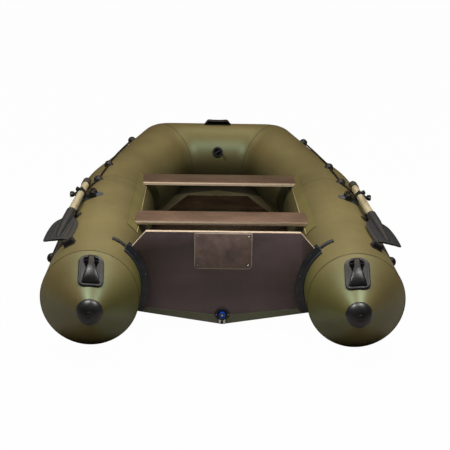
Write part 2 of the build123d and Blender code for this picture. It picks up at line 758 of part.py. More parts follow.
def oar_grip(side):
    """Rubber cup over the end of the shaft."""
    end = OAR_HANDLE + FIT
    outer_r = SHAFT_R + GRIP_WALL
    cup = rod(oar_point(side, end - GRIP_LENGTH), oar_point(side, end), outer_r)
    place = Plane(origin=oar_point(side, end), z_dir=(0, 1, 0))
    dome = place * (Sphere(outer_r) & Pos(0, 0, outer_r) * Box(2 * outer_r, 2 * outer_r, 2 * outer_r))
    mouth = oar_point(side, end - GRIP_LENGTH - CUT_SPARE)
    bore = rod(mouth, oar_point(side, end), SHAFT_R + RUNNING_FIT)
    return (cup - bore) + dome


def oar_blade(side):
    """Moulded blade with a ferrule over the shaft and a tapering spine."""
    place = Plane(
        origin=oar_point(side, -FERRULE_FROM_LOCK),
        x_dir=tangent(side, BLADE_TWIST[side]),
        z_dir=outward(side, BLADE_TWIST[side]),
    )
    # Drawn with x outboard and the blade running away from the ferrule. On the
    # starboard side the plane's y axis points to the bow, on the port side astern.
    aft = -1 if side == STARBOARD else 1
    neck = FERRULE_LENGTH * BLADE_NECK
    tip = FERRULE_LENGTH + BLADE_LENGTH
    right = [(FERRULE_R, neck)]
    right += [(BLADE_HALF * wide, neck + (tip - neck) * along) for wide, along in BLADE_OUTLINE]
    points = right + [(-x, y) for x, y in reversed(right)]
    outline = make_face(Polyline(*((x, aft * y) for x, y in points), close=True))
    outline = fillet(outline.vertices(), BLADE_CORNER_R)
    plate = Pos(0, 0, -BLADE_T / 2) * extrude(outline, amount=BLADE_T)
    spine_end = tip - SPINE_SHORT
    direction = (0, aft, 0)
    ferrule = Solid.make_cylinder(FERRULE_R, FERRULE_LENGTH, Plane(origin=(0, 0, 0), z_dir=direction))
    spine_place = Plane(origin=(0, aft * FERRULE_LENGTH, 0), z_dir=direction)
    spine = Solid.make_cone(FERRULE_R, SPINE_END_R, spine_end - FERRULE_LENGTH, spine_place)
    bore_place = Plane(origin=(0, -aft * CUT_SPARE, 0), z_dir=direction)
    depth = CUT_SPARE + SHAFT_IN_FERRULE + FIT
    bore = Solid.make_cylinder(SHAFT_R + RUNNING_FIT, depth, bore_place)
    return place * ((plate + ferrule + spine) - bore)


def clip_foot(side, y, angle, top):
    """A rounded pad on the tube, with a post standing square to it."""
    hub = Vector(side * TUBE_X, y, TUBE_R)
    out, square = outward(side, angle), tangent(side, angle) * (CLIP_POST / 2)
    lower = hub + out * (TUBE_R + FIT + CLIP_PAD_T / 2)
    upper = hub + out * (TUBE_R + top)
    corners = [lower - square, lower + square, upper + square, upper - square]
    post = make_face(Polyline(*((corner.X, corner.Z) for corner in corners), close=True))
    pad_place = Plane(origin=hub + out * TUBE_R, x_dir=(0, 1, 0), z_dir=out)
    outline = RectangleRounded(CLIP_PAD_ALONG, CLIP_PAD_ROUND, CLIP_PAD_CORNER_R)
    prism = pad_place * extrude(Pos(0, 0, -CLIP_ALONG) * outline, amount=2 * CLIP_ALONG)
    pad = shell_on_tube(side, CLIP_PAD_T, y - TUBE_R, y + TUBE_R) & prism
    return pad + slab(post, y - CLIP_ALONG / 2, y + CLIP_ALONG / 2)


def oar_clips(side):
    """Open saddle for the stowed shaft, and a low rest astern of the blade."""
    ahead = (CLIP_FROM_TRANSOM - LOCK_FROM_TRANSOM) / cos(radians(OAR_YAW))
    shaft = stowed_point(side, ahead)
    across, up = side * shaft.X - TUBE_X, shaft.Z - TUBE_R
    inner = SHAFT_R + CLIP_GAP
    top = hypot(across, up) - TUBE_R - inner - CLIP_WALL / 2
    clip = clip_foot(side, shaft.Y, degrees(atan2(across, up)), top)
    # The saddle is drawn on the shaft before it is turned to where the oar is stowed.
    axis = oar_centre(side)
    y = axis.Y + ahead
    low, high = (CLIP_LOW, CLIP_HIGH) if side == STARBOARD else (180 - CLIP_HIGH, 180 - CLIP_LOW)
    saddle = ring_sector((axis.X, axis.Z), inner, inner + CLIP_WALL, low, high)
    clip = clip + stowed(side, slab(saddle, y - CLIP_ALONG / 2, y + CLIP_ALONG / 2))
    # The shaft leaves the saddle sideways, as the oar turns on its swivel.
    out, away = outward(side, SWIVEL_TILT) * inner, tangent(side, SWIVEL_TILT) * CLIP_WAY_OUT
    corners = [axis + out, axis - out, axis - out + away, axis + out + away]
    lane = make_face(Polyline(*((corner.X, corner.Z) for corner in corners), close=True))
    room = slab(lane, y - CLIP_ALONG, y + CLIP_ALONG)
    room = room + rod(oar_point(side, ahead - CLIP_ALONG), oar_point(side, ahead + CLIP_ALONG), inner)
    clip = clip - stowed(side, room)
    return Compound(children=[clip, clip_foot(side, TRANSOM_Y + REST_FROM_TRANSOM, REST_ANGLE, REST_LIFT)])


# Lifeline ------------------------------------------------------------------

# The lifeline's route: distance ahead of the transom, and the angle outboard
# from the crown of the tube. The guides stand at five of its points.
ROPE_POINTS = [
    (2060.0, 40.2), (2035.0, 39.0), (1940.0, 34.5), (1840.0, 30.0), (1737.0, 25.5), (1650.0, 21.5),
    (1560.0, 17.5), (1480.0, 14.2), (1450.0, 13.2), (1420.0, 12.7), (1390.0, 12.9), (1340.0, 14.0),
    (1245.0, 17.0), (1160.0, 19.0), (1130.0, 19.7), (1100.0, 20.9), (1070.0, 22.7), (1035.0, 27.5),
    (980.0, 37.0), (925.0, 47.0), (875.0, 57.0), (830.0, 66.5), (785.0, 72.8), (740.0, 75.3),
    (700.0, 76.6), (640.0, 77.0), (215.0, 77.0), (195.0, 77.2),
]
GUIDE_POINTS = [1, 9, 15, 23, 26]


def rope_route(side):
    return [tube_point(side, TRANSOM_Y + ahead, angle, ROPE_LIFT) for ahead, angle in ROPE_POINTS]


def lifeline(side):
    route = rope_route(side)
    path = FilletPolyline(*route, radius=ROPE_BEND_R)
    start = Plane(origin=route[0], z_dir=route[1] - route[0])
    return sweep(start * Circle(ROPE_R), path=path)


def rope_guides(side):
    """Moulded eyes that hold the lifeline on the tube."""
    guides = []
    route = rope_route(side)
    for index in GUIDE_POINTS:
        ahead, angle = ROPE_POINTS[index]
        y = TRANSOM_Y + ahead
        foot = tube_point(side, y, angle, FIT)
        up = (tube_point(side, y, angle, 1.0) - tube_point(side, y, angle, 0.0)).normalized()
        run = route[index + 1] - route[index - 1]
        place = Plane(origin=foot, x_dir=run - up * run.dot(up), z_dir=up)
        # Flat under the middle, so the pad starts where the tube's crown touches it.
        pad = Pos(0, 0, GUIDE_PAD_T / 2) * Box(GUIDE_PAD_ALONG, GUIDE_PAD_ROUND, GUIDE_PAD_T)
        eye = Pos(0, 0, GUIDE_LIFT / 2) * Box(GUIDE_ALONG, 2 * GUIDE_HALF, GUIDE_LIFT)
        eye = fillet(eye.edges().filter_by(Axis.X).sort_by(Axis.Z)[-2:], GUIDE_CORNER_R)
        rope_z = ROPE_LIFT - FIT
        hole = Pos(0, 0, rope_z) * Rot(0, 90, 0) * Cylinder(ROPE_R + GUIDE_BORE_GAP, 3 * GUIDE_PAD_ALONG)
        guides.append(place * (pad + eye - hole))
    return Compound(children=guides)


# Bow fittings and valves ------------------------------------------------------

def bow_shell(thickness, low, high, half_width):
    """A patch on the bow tube between two angles measured up from its rear face."""
    centre = (BOW_Y, BOW_Z)
    inner = TUBE_R + FIT
    face = ring_sector(centre, inner, inner + thickness, 180 - high, 180 - low)
    # Drawn as (y, z), so the plane's normal is +X.
    return extrude(Plane.YZ.offset(-half_width) * face, amount=2 * half_width)


def bow_handle():
    """Strap handle standing on the crown of the bow tube."""
    pad = bow_shell(STRAP_PAD_T, 90 - STRAP_PAD_ANGLE, 90 + STRAP_PAD_ANGLE, STRAP_PAD_HALF)
    crown = BOW_Z + TUBE_R + FIT
    top_half, under_half = STRAP_TOP_HALF, STRAP_TOP_HALF - STRAP_FOOT / 2
    outer_points = [(-STRAP_HALF, 0), (-top_half, STRAP_RISE), (top_half, STRAP_RISE), (STRAP_HALF, 0)]
    inner_half, under = STRAP_HALF - STRAP_FOOT, STRAP_RISE - STRAP_T
    inner_points = [(-inner_half, 0), (-under_half, under), (under_half, under), (inner_half, 0)]
    loop = make_face(Polyline(*outer_points, close=True)) - make_face(Polyline(*inner_points, close=True))
    strap = slab(Pos(0, crown) * loop, BOW_Y - STRAP_WIDTH / 2, BOW_Y + STRAP_WIDTH / 2)
    tube = rod((-STRAP_PAD_HALF, BOW_Y, BOW_Z), (STRAP_PAD_HALF, BOW_Y, BOW_Z), TUBE_R + FIT)
    return pad + (strap - tube)


def valve(place):
    """A valve's flange and cap, seated on the round of a tube."""
    flange = Pos(0, 0, VALVE_T / 2) * Cylinder(VALVE_R, VALVE_T)
    cap = Pos(0, 0, VALVE_T + VALVE_CAP_T / 2) * Cylinder(VALVE_CAP_R, VALVE_CAP_T)
    skirt = Pos(0, 0, -VALVE_SEAT / 2) * Cylinder(VALVE_R, VALVE_SEAT)
    return place * (flange + cap + skirt)


def bow_valve():
    up = Vector(0, -cos(radians(BOW_VALVE_ANGLE)), sin(radians(BOW_VALVE_ANGLE)))
    place = Plane(origin=Vector(0, BOW_Y, BOW_Z) + up * TUBE_R, x_dir=(1, 0, 0), z_dir=up)
    tube = rod((-TUBE_R, BOW_Y, BOW_Z), (TUBE_R, BOW_Y, BOW_Z), TUBE_R + FIT)
    return valve(place) - tube


def side_valve(side):
    up = Vector(-side * cos(radians(SIDE_VALVE_ANGLE)), 0, sin(radians(SIDE_VALVE_ANGLE)))
    y = TRANSOM_Y + SIDE_VALVE_FROM_TRANSOM
    place = Plane(origin=Vector(side * TUBE_X, y, TUBE_R) + up * TUBE_R, x_dir=(0, 1, 0), z_dir=up)
    tube = rod((side * TUBE_X, y - TUBE_R, TUBE_R), (side * TUBE_X, y + TUBE_R, TUBE_R), TUBE_R + FIT)
    return valve(place) - tube


def towing_eye():
    """Round patch low on the front of the bow, with an eye for a tow line."""
    up = Vector(0, cos(radians(EYE_ANGLE)), sin(radians(EYE_ANGLE)))
    centre = Vector(0, BOW_Y, BOW_Z)
    place = Plane(origin=centre + up * TUBE_R, x_dir=(1, 0, 0), z_dir=up)
    prism = place * extrude(Pos(0, 0, -EYE_PAD_R) * Circle(EYE_PAD_R), amount=2 * EYE_PAD_R)
    # Angles of the patch run up from the rear face, so the front is near 180 degrees.
    middle, spread = 180 - EYE_ANGLE, EYE_PAD_HALF_ANGLE
    pad = bow_shell(STRAP_PAD_T, middle - spread, middle + spread, EYE_PAD_R) & prism
    ring = place * (Rot(0, 90, 0) * Torus(EYE_R, EYE_WIRE_R))
    tube = rod((-TUBE_R, BOW_Y, BOW_Z), (TUBE_R, BOW_Y, BOW_Z), TUBE_R + FIT)
    return pad + (ring - tube)


# Build ---------------------------------------------------------------------

def build():
    nodes = {}
    for name, side in SIDES.items():
        nodes[name + "_side_tube"] = side_tube(side)
        nodes[name + "_stern_cone"] = stern_cone(side)
        nodes[name + "_cone_cap"] = cone_cap(side)
        nodes[name + "_stern_handle"] = stern_handle(side)
        nodes[name + "_transom_holder"] = transom_holder(side)
        nodes[name + "_seat_rail"] = seat_rail(side)
        nodes[name + "_oarlock_base"] = oarlock_base(side)
        nodes[name + "_oarlock_bracket"] = oarlock_bracket(side)
        nodes[name + "_oar_shaft"] = stowed(side, oar_shaft(side))
        nodes[name + "_oar_collar"] = stowed(side, oar_collar(side))
        nodes[name + "_oar_grip"] = stowed(side, oar_grip(side))
        nodes[name + "_oar_blade"] = stowed(side, oar_blade(side))
        nodes[name + "_oar_clips"] = oar_clips(side)
        nodes[name + "_lifeline"] = lifeline(side)
        nodes[name + "_rope_guides"] = rope_guides(side)
        nodes[name + "_valve"] = side_valve(side)
    nodes["bow_tube"] = bow_tube()
    nodes["bow_handle"] = bow_handle()
    nodes["bow_valve"] = bow_valve()
    nodes["towing_eye"] = towing_eye()
    nodes["transom_board"] = transom_board()
    nodes["outer_motor_plate"] = motor_plate(TRANSOM_Y - PLATE_T, TRANSOM_Y)
    nodes["inner_motor_plate"] = motor_plate(TRANSOM_FRONT, TRANSOM_FRONT + PLATE_T)
    nodes["transom_bottom_band"] = bottom_band()
    nodes["drain_valve"] = drain_valve()
    nodes["drain_plug"] = drain_plug()
    tubes = [nodes["port_side_tube"], nodes["starboard_side_tube"], nodes["bow_tube"]]
    nodes["bottom_skin"] = bottom_skin(tubes)
    nodes["keel_tube"] = keel()
    for index, name in enumerate(("aft", "middle", "fore")):
        nodes[name + "_floor_board"] = floor_board(index)
    nodes["bow_floor_board"] = bow_floor_board()
    nodes["floor_profiles"] = floor_profiles()
    nodes["rear_seat"] = seat(TRANSOM_Y + REAR_SEAT_FROM_TRANSOM)
    nodes["front_seat"] = seat(TRANSOM_Y + FRONT_SEAT_FROM_TRANSOM)
    return nodes


os.makedirs("parts", exist_ok=True)
for node_name, shape in build().items():
    export_step(shape, "parts/" + node_name + ".step")
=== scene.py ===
"""An inflatable boat: its finish, its soft skin and its small fittings.
Metres; +Y to the bow, +X to starboard, +Z up."""
import json
from math import ceil, copysign, cos, degrees, dist, exp, hypot, pi, radians, sin, sqrt

import bmesh
import bpy
from mathutils import Matrix, Vector

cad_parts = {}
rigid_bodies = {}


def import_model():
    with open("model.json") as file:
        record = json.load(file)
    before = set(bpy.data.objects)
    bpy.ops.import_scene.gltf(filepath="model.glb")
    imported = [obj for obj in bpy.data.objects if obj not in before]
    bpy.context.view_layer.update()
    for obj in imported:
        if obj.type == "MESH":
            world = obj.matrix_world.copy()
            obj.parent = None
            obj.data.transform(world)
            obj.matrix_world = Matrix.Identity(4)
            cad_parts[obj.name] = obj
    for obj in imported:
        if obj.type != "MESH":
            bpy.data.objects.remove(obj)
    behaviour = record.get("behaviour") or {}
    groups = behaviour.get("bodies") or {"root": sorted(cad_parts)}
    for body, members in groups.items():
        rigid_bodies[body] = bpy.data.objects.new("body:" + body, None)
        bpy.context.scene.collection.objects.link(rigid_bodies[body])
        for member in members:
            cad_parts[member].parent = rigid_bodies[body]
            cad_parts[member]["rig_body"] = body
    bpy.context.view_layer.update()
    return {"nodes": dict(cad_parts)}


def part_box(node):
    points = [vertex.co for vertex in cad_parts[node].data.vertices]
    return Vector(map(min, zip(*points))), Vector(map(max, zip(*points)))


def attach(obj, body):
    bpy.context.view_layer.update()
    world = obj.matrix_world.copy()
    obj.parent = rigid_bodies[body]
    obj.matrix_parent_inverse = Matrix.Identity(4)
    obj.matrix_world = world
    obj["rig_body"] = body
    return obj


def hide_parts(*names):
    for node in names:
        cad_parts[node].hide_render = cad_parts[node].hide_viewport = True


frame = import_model()
NODES = frame["nodes"]
SIDES = {"port": -1, "starboard": 1}

# Sizes that the fittings share with the hull --------------------------------

CONE_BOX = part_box("starboard_stern_cone")
BOW_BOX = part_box("bow_tube")
BOARD_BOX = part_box("transom_board")
TUBE_R = (CONE_BOX[1].z - CONE_BOX[0].z) / 2
TUBE_X = (CONE_BOX[1].x + CONE_BOX[0].x) / 2
TIP_Y = CONE_BOX[0].y
SEAM_Y = CONE_BOX[1].y
BOW_Y = (BOW_BOX[0].y + BOW_BOX[1].y) / 2
BOW_Z = (BOW_BOX[0].z + BOW_BOX[1].z) / 2
TRANSOM_Y = BOARD_BOX[0].y
TRANSOM_FRONT = BOARD_BOX[1].y
KNEE_Y = BOW_Y - 0.786
SHOULDER_Y = BOW_Y - 0.510
SHOULDER_X = TUBE_X - 0.067
SHOULDER_Z = TUBE_R + 0.005
CORNER_X = 0.305
CONE_TIP_R = 0.049
CONE_TIP_INSET = 0.026
CONE_TIP_RAISE = 0.039
CONE_BULGE = 0.009
PANEL_SEAM = 1.15  # a joint between the tube's panels, ahead of the transom


# Camera ---------------------------------------------------------------------

def make_camera():
    """A long lens behind the boat, a little to port and looking down."""
    yaw, pitch, roll = 0.022, 0.267, 0.018
    forward = Vector((sin(yaw) * cos(pitch), cos(yaw) * cos(pitch), -sin(pitch)))
    level = Vector((cos(yaw), -sin(yaw), 0))
    above = level.cross(forward)
    right = cos(roll) * level + sin(roll) * above
    up = cos(roll) * above - sin(roll) * level
    data = bpy.data.cameras.new("camera")
    data.sensor_width = 36.0
    data.lens = 94.4
    camera = bpy.data.objects.new("camera", data)
    bpy.context.scene.collection.objects.link(camera)
    turn = Matrix((right, up, -forward)).transposed().to_4x4()
    camera.matrix_world = Matrix.Translation((-0.098, TRANSOM_Y - 4.705, 1.75)) @ turn
    bpy.context.scene.camera = camera


# Node helpers ---------------------------------------------------------------

class Shader:
    """A material under construction: short names for the nodes used again and again."""

    def __init__(self, name):
        self.material = bpy.data.materials.new(name)
        self.material.use_nodes = True
        self.tree = self.material.node_tree
        self.bsdf = self.tree.nodes["Principled BSDF"]
        coordinates = self.tree.nodes.new("ShaderNodeTexCoord")
        self.place = coordinates.outputs["Object"]

    def node(self, kind, **values):
        made = self.tree.nodes.new(kind)
        for key, value in values.items():
            setattr(made, key, value)
        return made

    def link(self, output, target):
        self.tree.links.new(output, target)

    def scaled(self, scale):
        """The object's coordinates, stretched by (x, y, z)."""
        mapping = self.node("ShaderNodeMapping")
        mapping.inputs["Scale"].default_value = scale
        self.link(self.place, mapping.inputs["Vector"])
        return mapping.outputs["Vector"]

    def noise(self, scale, detail, stretch=(1, 1, 1), rough=0.55):
        made = self.node("ShaderNodeTexNoise")
        made.inputs["Scale"].default_value = scale
        made.inputs["Detail"].default_value = detail
        made.inputs["Roughness"].default_value = rough
        self.link(self.scaled(stretch), made.inputs["Vector"])
        return made.outputs["Fac"]

    def ramp(self, factor, stops):
        """Colours or grey values along a factor, as (position, colour) pairs."""
        made = self.node("ShaderNodeValToRGB")
        elements = made.color_ramp.elements
        while len(elements) < len(stops):
            elements.new(0.5)
        for element, (position, colour) in zip(elements, stops):
            element.position = position
            element.color = colour if len(colour) == 4 else (*colour, 1)
        self.link(factor, made.inputs["Fac"])
        return made.outputs["Color"]

    def mix(self, factor, first, second, mode="MIX"):
        made = self.node("ShaderNodeMix", data_type="RGBA", blend_type=mode)
        for value, socket in ((factor, 0), (first, 6), (second, 7)):
            if isinstance(value, (int, float)):
                made.inputs[socket].default_value = value
            elif isinstance(value, tuple):
                made.inputs[socket].default_value = (*value[:3], 1)
            else:
                self.link(value, made.inputs[socket])
        return made.outputs[2]

    def maths(self, operation, first, second=0.0, third=0.0):
        made = self.node("ShaderNodeMath", operation=operation)
        for index, value in enumerate((first, second, third)):
            if isinstance(value, (int, float)):
                made.inputs[index].default_value = value
            else:
                self.link(value, made.inputs[index])
        return made.outputs[0]

    def axis(self, name):
        """One of the object's coordinates: X, Y or Z."""
        parts = self.node("ShaderNodeSeparateXYZ")
        self.link(self.place, parts.inputs[0])
        return parts.outputs[name]

    def facing(self, name):
        """How far the surface faces along an axis, from 0 to 1."""
        geometry = self.node("ShaderNodeNewGeometry")
        parts = self.node("ShaderNodeSeparateXYZ")
        self.link(geometry.outputs["Normal"], parts.inputs[0])
        return self.maths("ABSOLUTE", parts.outputs[name])

    def cockpit_painted_shade(self, darkest):
        """Painted shade: 1 outside; inside the cockpit it falls towards the floor, where little
        light gets in.
        """
        across = self.maths("ABSOLUTE", self.axis("X"))
        inside = self.maths("GREATER_THAN", self.axis("Y"), TRANSOM_FRONT)
        # The tubes' centre line bounds the cockpit: straight, then leaning in twice to the bow.
        fore_lean = (TUBE_X - SHOULDER_X) / (SHOULDER_Y - KNEE_Y)
        bow_lean = (SHOULDER_X - CORNER_X) / (BOW_Y - SHOULDER_Y)
        for x, y, lean in ((TUBE_X, KNEE_Y, 0.0), (SHOULDER_X, SHOULDER_Y, fore_lean),
                           (CORNER_X, BOW_Y, bow_lean)):
            edge = self.maths("MULTIPLY_ADD", self.axis("Y"), -lean, x + y * lean)
            inside = self.maths("MULTIPLY", inside, self.maths("LESS_THAN", across, edge))
        inside = self.maths("MULTIPLY", inside, self.maths("LESS_THAN", self.axis("Y"), BOW_Y))
        inside = self.maths("MULTIPLY", inside, self.maths("GREATER_THAN", self.axis("Z"), 0.12))
        halfway = darkest * 0.5 + 0.28
        depth = self.ramp(self.axis("Z"), [(0.14, grey(darkest)), (0.26, grey(halfway)),
                                           (0.41, grey(1))])
        return self.mix(inside, (1, 1, 1), depth)

    def transom_side_painted_shade(self):
        """A mask for painted shade: 1 low on the inner sides of the stern cones, which face each
        other across the transom.
        """
        across = self.maths("ABSOLUTE", self.axis("X"))
        inner = self.ramp(across, [(0.43, grey(1)), (0.56, grey(0))])
        low = self.ramp(self.axis("Z"), [(0.24, grey(1)), (0.38, grey(0))])
        aft = self.maths("LESS_THAN", self.axis("Y"), TRANSOM_FRONT)
        return self.maths("MULTIPLY", aft, self.maths("MULTIPLY", inner, low))

    def uneven(self, scale, spread, least, detail=4.0):
        """A value that wanders up from the least by the spread."""
        return self.maths("MULTIPLY_ADD", self.noise(scale, detail), spread, least)

    def bump(self, layers):
        """Stacks bumps: (height, distance in metres, strength) each."""
        normal = None
        for height, distance, strength in layers:
            made = self.node("ShaderNodeBump")
            made.inputs["Distance"].default_value = distance
            made.inputs["Strength"].default_value = strength
            self.link(height, made.inputs["Height"])
            if normal is not None:
                self.link(normal, made.inputs["Normal"])
            normal = made.outputs["Normal"]
        self.link(normal, self.bsdf.inputs["Normal"])

    def finish(self, colour, roughness, metallic=0.0, specular=0.5):
        values = (("Base Color", colour), ("Roughness", roughness))
        for name, value in values:
            if isinstance(value, (int, float)):
                self.bsdf.inputs[name].default_value = value
            elif isinstance(value, tuple):
                self.bsdf.inputs[name].default_value = (*value[:3], 1)
            else:
                self.link(value, self.bsdf.inputs[name])
        self.bsdf.inputs["Metallic"].default_value = metallic
        self.bsdf.inputs["Specular IOR Level"].default_value = specular
        return self.material


def srgb(red, green, blue):
    """A colour from its 0 to 255 screen values, as the shader wants it."""
    def one(value):
        share = value / 255
        return share / 12.92 if share <= 0.04045 else ((share + 0.055) / 1.055) ** 2.4
    return one(red), one(green), one(blue)


def grey(value):
    return (value,) * 3


def scaled_colour(colour, factor):
    return tuple(value * factor for value in colour)


# Materials ------------------------------------------------------------------

def fabric_weave(shader, light, dark):
    """Cloudy colour with a little dust on it, fine grain, slow waves where it is stretched."""
    colour = shader.ramp(shader.noise(2.6, 3.0), [(0.3, dark), (0.72, light)])
    dust = shader.ramp(shader.noise(34.0, 5.0), [(0.45, grey(0.94)), (0.62, grey(1))])
    shader.bump([
        (shader.noise(7.0, 2.0, (1, 0.35, 1)), 0.004, 0.16),
        (shader.noise(900.0, 2.0), 0.0003, 0.14),
    ])
    return shader.mix(0.8, colour, dust, "MULTIPLY")


def coated_fabric(name, light, dark, roughness):
    """PVC-coated fabric for the bands, rails and seams."""
    shader = Shader(name)
    colour = fabric_weave(shader, light, dark)
    return shader.finish(colour, shader.uneven(9.0, 0.14, roughness - 0.07))


def hull_fabric():
    """Olive coated fabric whose sheen leans to green, with painted shade where little light gets
    in: inside the cockpit towards the floor, and in darker green low on the stern cones' inner
    sides.
    """
    shader = Shader("hull_fabric")
    colour = fabric_weave(shader, srgb(123, 109, 69), srgb(106, 93, 57))
    # Painted shade inside the cockpit, darker towards the floor.
    colour = shader.mix(1.0, colour, shader.cockpit_painted_shade(0.16), "MULTIPLY")
    # Painted shade in darker green, low on the stern cones' inner sides.
    colour = shader.mix(shader.transom_side_painted_shade(), colour, (0.66, 0.78, 0.54), "MULTIPLY")
    shader.bsdf.inputs["Specular Tint"].default_value = (0.62, 1.0, 0.72, 1)
    return shader.finish(colour, shader.uneven(9.0, 0.14, 0.38), specular=0.7)


def bottom_fabric():
    """The bottom's coated fabric, in an olive painted darker than the tubes' as shade, and darker
    still inside the cockpit, where shade is painted towards the floor.
    """
    shader = Shader("bottom_fabric")
    clouds = shader.noise(2.6, 3.0)
    # A darker olive than the hull's: painted shade.
    colour = shader.ramp(clouds, [(0.3, srgb(62, 57, 38)), (0.72, srgb(76, 70, 48))])
    # Painted shade inside the cockpit, darker towards the floor.
    colour = shader.mix(1.0, colour, shader.cockpit_painted_shade(0.2), "MULTIPLY")
    shader.bump([(shader.noise(900.0, 2.0), 0.0003, 0.14)])
    return shader.finish(colour, 0.42)


def black_rubber(name, colour, roughness, specular=0.5):
    shader = Shader(name)
    worn = tuple(value * 1.7 + 0.004 for value in colour)
    tone = shader.ramp(shader.noise(24.0, 5.0), [(0.42, colour), (0.75, worn)])
    shader.bump([(shader.noise(320.0, 3.0), 0.0004, 0.22)])
    return shader.finish(tone, shader.uneven(60.0, 0.2, roughness - 0.1), specular=specular)


def painted_recess_shade():
    """Painted shade: the near-black matt inside of a gap, where hardly any light comes back."""
    shader = Shader("painted_recess_shade")
    tone = shader.ramp(shader.noise(40.0, 4.0), [(0.3, grey(0.0008)), (0.7, grey(0.0022))])
    return shader.finish(tone, 0.95, specular=0.06)


def film_faced_plywood(name, light, dark, edge_axis, layer, roughness=0.36, edge=1.0):
    """Plywood with a dark resin film on its faces and bare layers on its edges."""
    shader = Shader(name)
    mottle = shader.noise(5.5, 6.0, rough=0.62)
    face = shader.ramp(mottle, [(0.34, dark), (0.68, light)])
    grain = shader.ramp(shader.noise(10.0, 6.0, (0.6, 9, 9), 0.6),
                        [(0.35, (0.45, 0.4, 0.4)), (0.7, grey(1))])
    face = shader.mix(0.16, face, grain, "MULTIPLY")
    wave = shader.maths("FRACT", shader.maths("DIVIDE", shader.axis(edge_axis), layer))
    bright, pale, deep = (scaled_colour(colour, edge) for colour in
                          (srgb(255, 234, 208), srgb(242, 214, 182), srgb(190, 152, 118)))
    stripes = shader.ramp(wave, [(0.0, bright), (0.3, bright), (0.42, pale), (0.5, deep),
                                 (0.62, deep), (0.7, pale), (1.0, bright)])
    specks = shader.ramp(shader.noise(120.0, 4.0), [(0.3, grey(0.6)), (0.7, grey(1))])
    stripes = shader.mix(0.4, stripes, specks, "MULTIPLY")
    on_face = shader.ramp(shader.facing(edge_axis), [(0.55, grey(0)), (0.75, grey(1))])
    film = shader.ramp(mottle, [(0.3, grey(roughness - 0.06)), (0.8, grey(roughness + 0.1))])
    shader.bump([(shader.noise(420.0, 2.0), 0.0004, 0.12), (wave, 0.0005, 0.1)])
    return shader.finish(shader.mix(on_face, stripes, face), shader.mix(on_face, grey(0.7), film))


def worn_plate(name):
    """The motor's plate: the film is rubbed and stained where the clamp sits."""
    shader = Shader(name)
    stains = shader.noise(16.0, 7.0, rough=0.7)
    colour = shader.ramp(stains, [(0.3, srgb(112, 95, 95)), (0.52, srgb(142, 120, 116)),
                                  (0.75, srgb(172, 148, 140))])
    scratches = shader.ramp(shader.noise(46.0, 6.0, (1, 1, 9), 0.7),
                            [(0.5, (0.7, 0.68, 0.66)), (0.7, grey(1))])
    shader.bump([(stains, 0.0008, 0.2)])
    return shader.finish(shader.mix(0.35, colour, scratches, "MULTIPLY"),
                         shader.maths("MULTIPLY_ADD", stains, 0.3, 0.3))


def seat_plywood(name, painted_shade_factor=1.0):
    """Brown film on the top and underside, pale layers on the edges; a factor below 1 darkens the
    film as painted shade.
    """
    light, dark = (scaled_colour(colour, painted_shade_factor) for colour in (srgb(116, 91, 74), srgb(92, 71, 58)))
    return film_faced_plywood(name, light, dark, "Z", 0.009, 0.34)


def oar_metal(name):
    """Cream lacquered tube, a little scuffed."""
    shader = Shader(name)
    scuffs = shader.noise(28.0, 6.0, (1, 0.25, 1), 0.65)
    colour = shader.ramp(scuffs, [(0.32, srgb(150, 136, 104)), (0.5, srgb(196, 184, 150)),
                                  (0.75, srgb(212, 202, 172))])
    shader.bump([(scuffs, 0.0003, 0.2)])
    return shader.finish(colour, shader.maths("MULTIPLY_ADD", scuffs, 0.25, 0.2), metallic=0.25)


def bare_metal(name, colour, roughness=0.3):
    shader = Shader(name)
    brushed = shader.noise(90.0, 4.0, (1, 12, 12))
    tone = shader.ramp(brushed, [(0.3, scaled_colour(colour, 0.75)), (0.7, colour)])
    shader.bump([(brushed, 0.0002, 0.12)])
    rough = shader.maths("MULTIPLY_ADD", brushed, 0.2, roughness - 0.1)
    return shader.finish(tone, rough, metallic=1.0)


def moulded_plastic(name, colour, roughness):
    shader = Shader(name)
    tone = shader.ramp(shader.noise(18.0, 4.0), [(0.3, scaled_colour(colour, 0.82)), (0.7, colour)])
    shader.bump([(shader.noise(260.0, 3.0), 0.0003, 0.25)])
    return shader.finish(tone, shader.uneven(50.0, 0.16, roughness - 0.08, 3.0))


def rope_braid(name):
    shader = Shader(name)
    wave = shader.node("ShaderNodeTexWave", wave_type="BANDS", bands_direction="DIAGONAL")
    wave.inputs["Scale"].default_value = 120.0
    shader.link(shader.place, wave.inputs["Vector"])
    braid = wave.outputs["Fac"]
    shader.bump([(braid, 0.0006, 0.6)])
    colour = shader.ramp(braid, [(0.2, srgb(14, 12, 9)), (0.8, srgb(44, 38, 26))])
    return shader.finish(colour, 0.9, specular=0.2)


